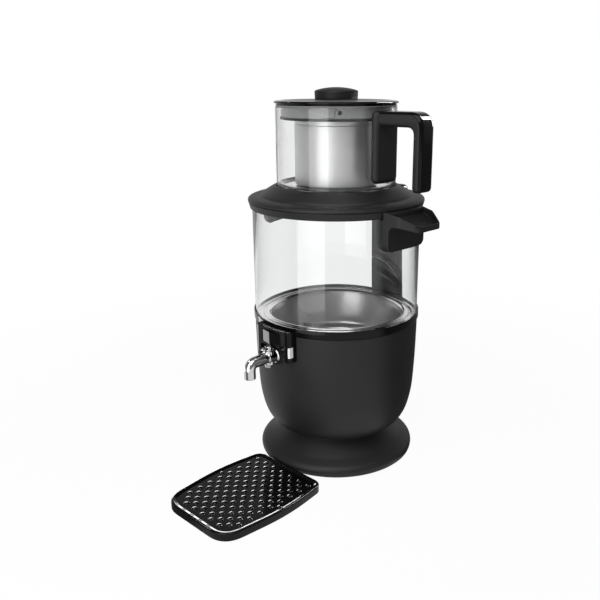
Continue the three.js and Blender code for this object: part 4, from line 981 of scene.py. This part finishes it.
# Everything within a depth of the handle's outer side, and past it.
def coverBand(values, depth, start):
    low, high = boxOf("handle_cover")
    past, reach = values["past"], high[0] - depth
    band = [
        (start, high[2] - depth), (reach, high[2] - depth, values["corner"] - depth / 2),
        (reach, low[2] - past), (high[0] + past, low[2] - past),
        (high[0] + past, high[2] + past), (start, high[2] + past)]
    half = values["plateHalf"] + past
    return alongY(rimmed(band, [(0, -half), (0, half)], 14))


# A plate that grows out of the pot's wall and ends in a quarter circle, with the arm and bar.
def makeHandle(values):
    coverLow, coverHigh = boxOf("handle_cover")
    top, coverStart = coverHigh[2], coverLow[0]
    half, plateFoot = values["plateHalf"], heightsOf("teapot_glass")[0] + values["plateFoot"]
    start = math.sqrt(potRadius ** 2 - half ** 2) - values["plateDeep"]
    footCorner, topCorner = values["plateFootCorner"], values["plateTopCorner"]
    plate = [(-half, plateFoot, footCorner), (half, plateFoot, footCorner),
             (half, top, topCorner), (-half, top, topCorner)]
    edge = values["plateReach"] - values["plateSide"]
    profile = np.vstack([[(values["plateRoot"], start)],
                         softEnds(start, values["plateReach"], edge, 7)[8:]])
    piece = objectFrom("teapot_handle_moulding", alongX(rimmed(plate, profile, 10)))
    cutBy(piece, handleBar(values), operation="UNION")
    moulded(piece, values["lattice"], values["rounds"])
    bore, under, over = potRadius + fit, plateFoot - overrun, top + overrun
    cutBy(piece, turned([(0, under), (bore, under), (bore, over), (0, over)], 160),
          coverBand(values, values["cover"] + values["coverGap"], coverStart - values["coverGap"]),
          solver="MANIFOLD")
    finished(piece, "teapot_handle")
    cover = objectFrom("handle_cover_gloss", handleBar(values))
    cutBy(cover, coverBand(values, values["cover"], coverStart), operation="INTERSECT")
    finished(eased(cover, values["coverEdge"], segments=2), "handle_cover")


makeHandle(handle)
print("handle made")

# Carrying grips and the rear spine

grips = {
    "lattice": 0.55, "rounds": 9, "deep": 1.0, "drop": 13.0, "chin": 20.0, "upright": 0.75,
    "lip": 123.8, "lipUpright": 0.2,
}


# The floor of a grip's scoop is painted with the darker black_rubber finish, as painted shade for the deep
# hollow: its faces look up, well below the rim around them.
def isScoopShade(middle, facing, values, low, high):
    x, z = np.abs(middle[:, 0]), middle[:, 2]
    reach, tip = radiusOf("collar"), np.abs((low[0], high[0])).max()
    rim = high[2] - values["drop"] * np.clip((x - reach) / (tip - reach), 0, 1)
    return (facing[:, 2] > values["upright"]) & (x > reach) & (z < rim - values["deep"]) & (
        z > low[2] + values["chin"])


# The node's own solid, rounded like a moulding, with painted shade on the floor of its scoop and a gloss
# lip.
def makeGrip(side, values):
    low, high = boxOf(side)
    piece = moulded(copyOf(side, side + "_moulding"), values["lattice"], values["rounds"])
    # The darker finish on the scoop floor is painted shade.
    painted(finished(piece, side, sharpAngle=60), "black_rubber",
            lambda middle, facing: isScoopShade(middle, facing, values, low, high))
    painted(piece, "black_gloss_plastic", lambda middle, facing: (
        np.abs(middle[:, 0]) > values["lip"]) & (facing[:, 2] > values["lipUpright"]))


makeGrip("grip_right", grips)
makeGrip("grip_left", grips)

spine = {
    "half": 21.7, "corner": 7.0, "edge": 0.7, "headEdge": 5.0, "seamBow": 5.0, "seamGap": 0.5,
    # bead, beadOut and beadEnd size the bright steel bead in the seam, which is a painted highlight.
    "front": 85.0, "bead": 0.6, "beadOut": 0.65, "beadEnd": 0.5,
}


# The seam on the spine's back: a slant from one side to the other, bowed upwards in the middle.
def seamAt(x, values):
    right, left = heightsOf("spine_upper")[0], heightsOf("spine_lower")[1]
    across = x / (2 * values["half"])
    return (right + left) / 2 + (right - left) * across + values["seamBow"] * (1 - 4 * across ** 2)


# A turned shape that the spine is cut back to: a fit away from the housing, the trim ring, the
# glass and the lid, one above the other.
def spineSeats():
    trimLow, trimHigh = heightsOf("trim_ring")
    top = heightsOf("spine_head")[1] + overrun
    levels = [heightsOf("spine_lower")[0] - overrun, trimLow - fit, trimHigh + fit,
              heightsOf("collar")[0] - fit, top]
    nodes = ("lower_housing", "trim_ring", "glass_vessel", "vessel_lid")
    sides = [(radiusOf(node) + fit, height) for node, ends in zip(nodes, zip(levels, levels[1:]))
             for height in ends]
    return turned([(0, levels[0]), *sides, (0, top)], 128)


# The spine's plan carried up between two levels, each a height or an array along x: the edges keep
# their round, and the rest is spread between the levels.
def makeSpine(values):
    low, high = boxOf("spine_lower")
    half, front, reach, corner = values["half"], values["front"], high[1], values["corner"]
    plan = [(-half, front), (half, front), (half, reach, corner), (-half, reach, corner)]
    headLow, headHigh = heightsOf("spine_head")
    seat, edge, gap = spineSeats(), values["edge"], values["seamGap"]
    blank = 100.0  # a height before the spread
    points, faces = rimmed(plan, softEnds(0, blank, edge), 8)
    share = np.clip((points[:, 2] - edge) / (blank - 2 * edge), 0, 1)
    rounding = points[:, 2] - share * blank
    seam = seamAt(points[:, 0], values)
    for name, start, end in (("spine_lower", low[2], seam - gap / 2),
                             ("spine_upper", seam + gap / 2, headLow - gap)):
        points[:, 2] = start + share * (end - start) + rounding
        finished(cutBy(objectFrom(name + "_moulding", (points, faces)), seat), name)
    profile = np.vstack([softEnds(headLow, headHigh, edge)[:5],
                         softEnds(headLow, headHigh, values["headEdge"], 7)[8:]])
    finished(cutBy(objectFrom("spine_head_gloss", rimmed(plan, profile, 8)), seat), "spine_head")


# A thin bright steel bead in the seam, a painted highlight for the light that the seam's edges catch:
# for x across the spine and turn t, the seam's point on a cylinder round the glass, plus bead
# (cos t outwards, sin t upwards).
def makeSeamHighlightBead(values):
    radius, end = radiusOf("glass_vessel") + values["beadOut"], values["half"] - values["beadEnd"]
    x = np.linspace(-end, end, 48)
    place = np.stack([x, np.sqrt(radius ** 2 - x ** 2), seamAt(x, values)], axis=1)
    turn = (np.arange(10) * math.pi / 5)[None, :, None]
    outwards = (place * (1, 1, 0) / radius)[:, None]
    rings = place[:, None] + values["bead"] * (np.cos(turn) * outwards + np.sin(turn) * (0, 0, 1))
    piece = faceOutwards(objectFrom("spine_seam_highlight_bead", ringed(rings)))
    # The bead's light basket steel is the painted highlight.
    piece.data.materials.append(materials["basket_steel"])
    piece.data.shade_smooth()
    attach(piece, bodyOf["spine_lower"])


makeSpine(spine)
makeSeamHighlightBead(spine)
print("grips and spine made")

# Switch housing over the tap, with its rocker and light window

rocker = {
    "edge": 0.7, "ridge": 3.0, "thick": 3.0, "reach": 0.8, "backReach": 0.4, "pivot": 1.0,
    "inset": 1.2,  # how far its ends lie inside the pivot's
}
saddle = {
    "corner": 6.5, "edge": 0.9, "legInner": 17.0, "archRound": 3.0, "back": -80.0,
    "windowHalf": 14.3, "windowGap": 0.4, "windowRound": 1.2, "washerRise": 11.3, "cutEdge": 0.5,
    "lensInset": 4.4, "lensTurn": 1.2, "lensRound": 0.6, "lensBackRound": 0.3, "lensEdge": 0.4,
}
tapHeight = sum(heightsOf("tap_washer")) / 2


# The corners of a rectangle, for an outline, with their reaches at the bottom and at the top.
def rectangle(left, bottom, right, top, reach=0.0, topReach=None):
    upper = reach if topReach is None else topReach
    return [(left, bottom, reach), (right, bottom, reach), (right, top, upper), (left, top, upper)]


# A turned shape a fit away from the housing and from the trim ring above it.
def saddleSeat(bottom, top):
    trimLow = heightsOf("trim_ring")[0] - fit
    housingRadius, trimRadius = radiusOf("lower_housing") + fit, radiusOf("trim_ring") + fit
    return turned([(0, bottom), (housingRadius, bottom), (housingRadius, trimLow),
                   (trimRadius, trimLow), (trimRadius, top), (0, top)], 128)


# A block with round front corners, over the tap as an arch, with a window for the rocker.
def makeSaddle(values):
    low, high = boxOf("switch_saddle")
    half, front, back = high[0], low[1], values["back"]
    bottom, top = low[2] - overrun, high[2] + overrun
    plan = [(-half, front, values["corner"]), (half, front, values["corner"]), (half, back), (-half, back)]
    piece = objectFrom("switch_housing", rimmed(plan, softEnds(low[2], high[2], values["edge"]), 10))
    inner, wide, past = values["legInner"], values["windowHalf"], values["windowGap"] - rocker["inset"]
    rockerLow, rockerHigh = heightsOf("power_rocker")
    arch = rectangle(-inner, bottom, inner, tapHeight + values["washerRise"], 0, values["archRound"])
    window = rectangle(-wide, rockerLow - past, wide, rockerHigh + past, values["windowRound"])
    through = [(0, -back - overrun), (0, -front + overrun)]
    cutBy(piece, alongY(rimmed(arch, through)), alongY(rimmed(window, through)), saddleSeat(bottom, top))
    eased(piece, values["cutEdge"])
    lensLow, lensHigh = boxOf("light_window")
    near, side = lensLow[0] + values["lensInset"], lensHigh[0]
    cutBy(piece, rimmed(
        rectangle(near - fit, lensLow[1] - overrun, side + overrun, lensHigh[1] + fit),
        [(0, lensLow[2] - fit), (0, lensHigh[2] + fit)]))
    finished(piece, "switch_saddle")
    soft, backSoft = values["lensRound"], values["lensBackRound"]
    pane = [(near, lensLow[1], soft), (side, lensLow[1] + values["lensTurn"], soft),
            (side, lensHigh[1], backSoft), (near, lensHigh[1], backSoft)]
    finished(objectFrom("lens_moulding", rimmed(
        pane, softEnds(lensLow[2], lensHigh[2], values["lensEdge"]))), "light_window")


# Two facets that meet in a ridge, and the pivot behind them.
def makeRocker(values):
    low, high = boxOf("power_rocker")
    front, half, reach, backReach = low[1] + values["ridge"], high[0], values["reach"], values["backReach"]
    back, pivot = front + values["thick"], values["pivot"]
    plan = [(-half, front, reach), (0, low[1], reach), (half, front, reach),
            (half, back, backReach), (-half, back, backReach)]
    key = rimmed(plan, softEnds(low[2] + values["inset"], high[2] - values["inset"], values["edge"]))
    rod = turned([(0, low[2]), (pivot, low[2]), (pivot, high[2]), (0, high[2])], 24, (0, back))
    finished(objectFrom("rocker_key", together(key, rod)), "power_rocker")


makeSaddle(saddle)
makeRocker(rocker)

# Tap

tap = {
    "bore": 3.7, "pipe": 6.1, "body": 6.9, "ring": 7.6, "flange": 8.3, "shank": 5.2,
    "bend": 13.0, "mouthRound": 0.8, "bossRise": 7.6, "bossDrop": 7.4, "boss": 5.9, "bossBore": 3.9,
    "edge": 0.6, "shankEdge": 0.4, "ringWidth": 1.8, "collarWidth": 2.2, "collarStep": 0.8,
    "ringStep": 0.6, "past": 4.4,  # from the valve to the body's end
}
tapLow, tapHigh = boxOf("tap_body")
valveLow, valveHigh = boxOf("valve_plug")
valveY = (valveLow[1] + valveHigh[1]) / 2


# A round section carried along a bent line in the plane x = 0: for each place on the line and
# each turn t, centre + radius (cos t across the plane, sin t square to the line in it).
def pipeAlong(line, radii, sides=40):
    slope = np.gradient(line, axis=0)
    slope /= np.linalg.norm(slope, axis=1, keepdims=True)
    square = np.stack([-slope[:, 1], slope[:, 0]], axis=1)
    turn = np.arange(sides) * 2 * math.pi / sides
    across = np.outer(radii, np.cos(turn))
    inPlane = line[:, None] + radii[:, None, None] * np.sin(turn)[None, :, None] * square[:, None]
    return np.concatenate([across[..., None], inPlane], axis=-1)


# The spout: a pipe along the tap's line, open through its bore, with a half round lip.
def spoutPipe(values, bodyEnd):
    reach, bore, soft = tapLow[1] + values["pipe"], values["bore"], values["mouthRound"]
    line = bentLine([(bodyEnd, tapHeight), (reach, tapHeight, values["bend"]), (reach, tapLow[2])], 24)
    line = np.vstack([np.linspace(line[0], line[1], 4)[:-1], line[1:-1],
                      np.linspace(line[-2], line[-1], 6)[1:]])
    turn = np.linspace(0, math.pi, 9)[1:-1]
    radii = (values["pipe"] + bore) / 2 + (values["pipe"] - bore) / 2 * np.cos(turn)
    lip = np.column_stack([np.full(len(turn), reach), tapLow[2] - soft * np.sin(turn)])
    lipRings = [pipeAlong(np.array([line[-2], place]), np.full(2, radius))[1:]
                for place, radius in zip(lip, radii)]
    rings = np.concatenate([pipeAlong(line, np.full(len(line), values["pipe"])), *lipRings,
                            pipeAlong(line, np.full(len(line), bore))[::-1]])
    return rings.reshape(-1, 3), gridFaces(len(rings), rings.shape[1], True)


# The spout, the body turned along Y with its flange and end ring, and an upright boss.
def makeTap(values):
    bodyEnd = valveY - values["past"]
    front, back = boxOf("tap_washer")[0][1] - fit, tapHigh[1]
    collarEnd, ringEnd, edge = front - values["collarWidth"], bodyEnd + values["ringWidth"], values["edge"]
    bore, shank, flange = values["bore"], values["shank"], values["flange"]
    body = turnedAlongY(bent([
        (bore, back), (shank, back, values["shankEdge"]), (shank, front), (flange, front, edge),
        (flange, collarEnd, edge), (values["body"], collarEnd - values["collarStep"], edge),
        (values["body"], ringEnd + values["ringStep"], edge), (values["ring"], ringEnd, edge),
        (values["ring"], bodyEnd, edge), (bore, bodyEnd)]), tapHeight)
    bossLow, bossHigh = tapHeight - values["bossDrop"], tapHeight + values["bossRise"]
    boss = turned(bent([
        (values["bossBore"], bossLow), (values["boss"], bossLow, edge),
        (values["boss"], bossHigh, edge), (values["bossBore"], bossHigh)]), 64, (0, valveY))
    finished(faceOutwards(objectFrom("tap_casting", together(spoutPipe(values, bodyEnd), body, boss))),
             "tap_body")


makeTap(tap)

plug = {"radius": 3.4, "cap": 4.6, "capHeight": 1.6, "edge": 0.5}


# Turned: a plug with a wider cap.
def makePlug(values):
    low, high = valveLow[2], valveHigh[2]
    radius, cap, capFoot, edge = values["radius"], values["cap"], high - values["capHeight"], values["edge"]
    turnedPiece("valve_plug_turning", bentLine([
        (0, low), (radius, low, edge), (radius, capFoot), (cap, capFoot, edge), (cap, high, edge),
        (0, high)]), "valve_plug", sides=48, centre=(0, valveY))


makePlug(plug)

lever = {
    "rootHalf": 2.5, "rootReach": 1.8, "tipHalf": 2.9, "tipReach": 2.4, "tip": 0.9, "edge": 0.6,
    "hub": 4.4, "hubHeight": 3.2, "hubFoot": 0.4, "hubRound": 0.9,
}


# A wedge on a hub: heights shrink in line with the way from the valve to the lever's tip.
def makeLever(values):
    low, high = boxOf("tap_lever")
    tip, heel, height = low[1], high[1], high[2] - low[2]
    root, end, hub = values["rootHalf"], values["tipHalf"], values["hub"]
    plan = [(-root, heel, values["rootReach"]), (-end, tip, values["tipReach"]),
            (end, tip, values["tipReach"]), (root, heel, values["rootReach"])]
    points, faces = rimmed(plan, softEnds(0, height, values["edge"]), 8)
    way = np.clip((valveY - points[:, 1]) / (valveY - tip), 0, 1)
    points[:, 2] = low[2] + points[:, 2] * (1 - way * (1 - values["tip"] / height))
    hubTop = low[2] + values["hubHeight"]
    boss = turned(bentLine([(0, low[2]), (hub, low[2], values["hubFoot"]),
                            (hub, hubTop, values["hubRound"]), (0, hubTop)]), 48, (0, valveY))
    finished(objectFrom("tap_lever_wedge", together((points, faces), boss)), "tap_lever")


makeLever(lever)
print("tap made")

# Drip tray

tray = {
    "nearHalf": 50.0, "wideHalf": 57.5, "farHalf": 49.0, "wideShare": 0.43, "corner": 23.0,
    "nearCorner": 11.0, "wideReachShare": 0.3125, "wall": 2.2, "footEdge": 0.3, "dish": 1.7,
    "rimEnd": 2.6, "rimEdge": (0.6, 0.25), "border": 5.0, "borderFoot": 0.9, "domeRadius": 3.0,
    "domeHeight": 1.4, "domePitch": 9.6, "domeBorder": 3.0, "domeNear": 12.0, "domeSides": 20,
    "domeRoot": 0.3, "edge": 1.6,
}


# A six-cornered plan carried up a profile: hollow underneath, a rim, and a shallow dish.
def makeTray(values):
    low, high = boxOf("drip_tray")
    centre, near, top, length = (low[0] + high[0]) / 2, high[1], high[2], high[1] - low[1]
    half = [(values["nearHalf"], near, values["nearCorner"]),
            (values["wideHalf"], near - values["wideShare"] * length, values["wideReachShare"] * length),
            (values["farHalf"], low[1], values["corner"])]
    corners = [(centre - x, y, reach) for x, y, reach in half]
    corners += [(centre + x, y, reach) for x, y, reach in half[::-1]]
    floor, wall, border = top - values["dish"], values["wall"], values["border"]
    rimEnd, footEdge, (rimIn, rimDown) = values["rimEnd"], values["footEdge"], values["rimEdge"]
    profile = np.vstack([
        [(wall, floor - wall), (wall, 0), (footEdge, 0), (0, footEdge)],
        softEnds(0, top, values["edge"], 5)[6:],
        [(rimEnd, top), (rimEnd + rimIn, top - rimDown), (border, floor + rimDown),
         (border + values["borderFoot"], floor)]])
    domes = trayDomes(values, corners, floor, (centre, near), length)
    finished(objectFrom("drip_tray_gloss", together(rimmed(corners, profile, 14), *domes)),
             "drip_tray", sharpAngle=40)


# Where a point lies in an outline: an odd number of edges cross the line to its right.
def isInside(x, y, outline):
    x1, y1 = outline.T[:, :, None]
    x2, y2 = np.roll(outline, -1, 0).T[:, :, None]
    crosses = ((y1 > y) != (y2 > y)) & (x < x1 + (y - y1) / (y2 - y1 + 1e-12) * (x2 - x1))
    return crosses.sum(axis=0) % 2 == 1


# Domes on every other place of a grid in the dish. Each is a ball's cap: at a distance out from its
# middle its height is rise - ball + the root of (ball squared - out squared), for a ball's radius.
def trayDomes(values, corners, floor, start, length):
    step = values["domePitch"] / math.sqrt(2)
    across = int(values["wideHalf"] / step) + 1
    row, column = (place.ravel() for place in np.meshgrid(
        np.arange(int(length / step)), np.arange(-across, across + 1)))
    x, y = start[0] + column * step, start[1] - values["domeNear"] - row * step
    field = bent(drawnIn(corners, values["border"] + values["domeBorder"]), 6)
    kept = ((row + column) % 2 == 0) & isInside(x, y, field)
    reach, rise, root = values["domeRadius"], values["domeHeight"], floor - values["domeRoot"]
    ball = (reach ** 2 + rise ** 2) / (2 * rise)
    out = reach * np.linspace(0, 1, 7)[::-1]
    cap = np.column_stack([out, floor + rise - ball + np.sqrt(ball ** 2 - out ** 2)])
    cap = np.vstack([[(0, root), (reach, root)], cap])
    return [turned(cap, values["domeSides"], place) for place in zip(x[kept], y[kept])]


makeTray(tray)
print("tray made")

# Camera at the photograph's angle

camera = {
    "turn": 43.0, "pitch": 17.2, "distance": 771.0, "height": 419.0, "lens": 42.0, "sensor": 36.0,
    "sideShift": -0.0605, "clip": (0.02, 50),  # metres
}


# The camera looks at the upright axis from a turn to its right, tipped down by pitch.
def makeCamera(values):
    data = bpy.data.cameras.new("camera")
    data.lens, data.sensor_width, data.shift_x = values["lens"], values["sensor"], values["sideShift"]
    data.clip_start, data.clip_end = values["clip"]
    piece = linked("camera", data)
    turn, pitch, away = math.radians(values["turn"]), math.radians(values["pitch"]), values["distance"]
    piece.location = (
        math.sin(turn) * away / metre, -math.cos(turn) * away / metre, values["height"] / metre)
    piece.rotation_euler = (math.pi / 2 - pitch, 0, turn)
    bpy.context.scene.camera = piece


makeCamera(camera)

# Studio. Each lamp: azimuth, elevation and distance of its middle, its width and height, and its
# brightness, where 1 is white paper in full light. Degrees and metres.

studio = {
    "key": (11, 31, 0.68, 0.38, 0.70, 1.75),
    "fill": (30, 57, 1.3, 1.1, 0.8, 2.4),
    "top": (60, 74, 1.4, 0.9, 0.7, 1.0),
}
# Bright lamps that only gloss plastic and chrome receive, for the glints in them.
glints = {
    "spark": (-62, 46, 1.2, 0.1, 0.1, 50.0),
    "rim": (158, 39, 1.3, 0.26, 0.95, 45.0),
    "low": (-66, 5, 0.4, 0.22, 0.06, 4.0),
}
trayGlints = {"edge": (-115, 14, 1.3, 0.9, 0.6, 16.0)}
lipGlints = {"lip": (223, 24, 1.3, 0.4, 0.3, 14.0)}


# A collection of the pieces that a lamp reaches.
def receivers(name, test):
    group = bpy.data.collections.new(name)
    for piece in list(bpy.context.scene.objects):
        if piece.type == "MESH" and piece.data.materials and test(piece):
            group.objects.link(piece)
    return group


# Area lamps that face the upright axis, the key level and the others tipped down.
def makeLamps(values, group=None):
    for name, (azimuth, elevation, distance, width, height, brightness) in values.items():
        data = bpy.data.lights.new(name, "AREA")
        data.shape, data.size, data.size_y = "RECTANGLE", width, height
        data.energy = brightness * math.pi * width * height
        lamp = linked(name, data)
        lamp.visible_camera = False
        a, e = math.radians(azimuth), math.radians(elevation)
        lamp.location = (
            distance * math.sin(a) * math.cos(e), -distance * math.cos(a) * math.cos(e),
            distance * math.sin(e))
        lamp.rotation_euler = (math.pi / 2 - (0.0 if name == "key" else e), 0, a)
        if group:
            lamp.light_linking.receiver_collection = group


shiny = (materials["black_gloss_plastic"], materials["chrome"])
makeLamps(studio)
makeLamps(glints, receivers("glossy", lambda piece: piece.data.materials[0] in shiny))
makeLamps(lipGlints, receivers("grips", lambda piece: piece.name.startswith("grip_")))
makeLamps(trayGlints, receivers("tray_glossy", lambda piece: piece.name.startswith("drip_tray")))

# What metal, gloss and glass mirror: a level, and patches where it rises. Each patch: its azimuth,
# its rise, and the angles from its azimuth where it is still full and where it is gone.
floorValues = {
    "half": 4.0, "shade": 0.85, "glowNear": 0.96, "fadeFrom": 0.3, "fadeTo": 0.8,
    "level": 0.12, "patches": [(-70, 0.7, 35, 55), (55, 0.75, 40, 54)],
}
room = {
    "level": 0.22, "patches": [(223, 0.55, 35, 85)], "overhead": 0.12,
    "turnFrom": 0.32, "turnTo": 0.7, "ambient": 0.23,
}


# What the camera sees straight or through glass, and what is seen in a mirroring surface. A ray
# that has left a surface and then passed through glass counts as mirrored.
def rayKinds(s):
    seen, mirror, through, glossy, diffuse = (s.node("ShaderNodeLightPath", output=name) for name in (
        "Is Camera Ray", "Is Glossy Ray", "Is Transmission Ray", "Glossy Depth", "Diffuse Depth"))
    straight = through * (1 - s.between(glossy + diffuse, 0, 1))
    bounced = through * s.between(glossy, 0, 1)
    return seen + straight, mirror + bounced


# The brightness mirrored from a direction.
def mirrored(s, direction, values):
    flat = s.vector("NORMALIZE", s.vector("MULTIPLY", direction, (1, 1, 0)))
    level = values["level"]
    for azimuth, rise, full, gone in values["patches"]:
        turn = math.radians(azimuth)
        facing = s.vector("DOT_PRODUCT", flat, (math.sin(turn), -math.cos(turn), 0), "Value")
        patch = s.between(facing, math.cos(math.radians(gone)), math.cos(math.radians(full)))
        level = level + rise * patch
    return level


# A pale floor that keeps a soft shadow near the object and passes into the white behind it.
def makeFloor(values):
    half = values["half"]
    mesh = bpy.data.meshes.new("floor")
    mesh.from_pydata([(-half, -half, 0), (half, -half, 0), (half, half, 0), (-half, half, 0)], [],
                     [(0, 1, 2, 3)])
    floor = linked("floor", mesh)
    material, s = newShader("pale_floor")
    place = s.place()
    away = s.vector("LENGTH", place, output="Value")
    fade = s.between(away, values["fadeFrom"], values["fadeTo"])
    direct, mirror = rayKinds(s)
    lit = s.node("ShaderNodeBsdfDiffuse", None, {"Color": (*grey(values["shade"]), 1)})
    glow = s.node("ShaderNodeEmission", None, {
        "Color": (1, 1, 1, 1), "Strength": direct + (1 - direct) * mirrored(s, place, values)})
    share = direct * (values["glowNear"] + (1 - values["glowNear"]) * fade) + (1 - direct) * mirror
    s.output(s.node("ShaderNodeMixShader", None, {0: share, 1: lit, 2: glow}))
    mesh.materials.append(material)


makeFloor(floorValues)


# White for what the camera sees directly and through glass; what is mirrored fades overhead.
def makeWorld(values):
    world = bpy.data.worlds.new("studio")
    bpy.context.scene.world = world
    world.use_nodes = True
    s = Shader(world.node_tree)
    direction = s.node("ShaderNodeTexCoord", output="Generated")
    up = s.part(direction, "Z")
    high = s.between(up, values["turnFrom"], values["turnTo"])
    direct, mirror = rayKinds(s)
    side = mirrored(s, direction, values)
    level = side * (1 - high) + values["overhead"] * high
    strength = direct + (1 - direct) * (mirror * level + (1 - mirror) * values["ambient"])
    background = s.node("ShaderNodeBackground", None, {"Color": (1, 1, 1, 1), "Strength": strength})
    s.output(background, "ShaderNodeOutputWorld")


makeWorld(room)
bpy.context.scene.view_settings.view_transform = "Standard"
print("camera, lamps, floor and world made")
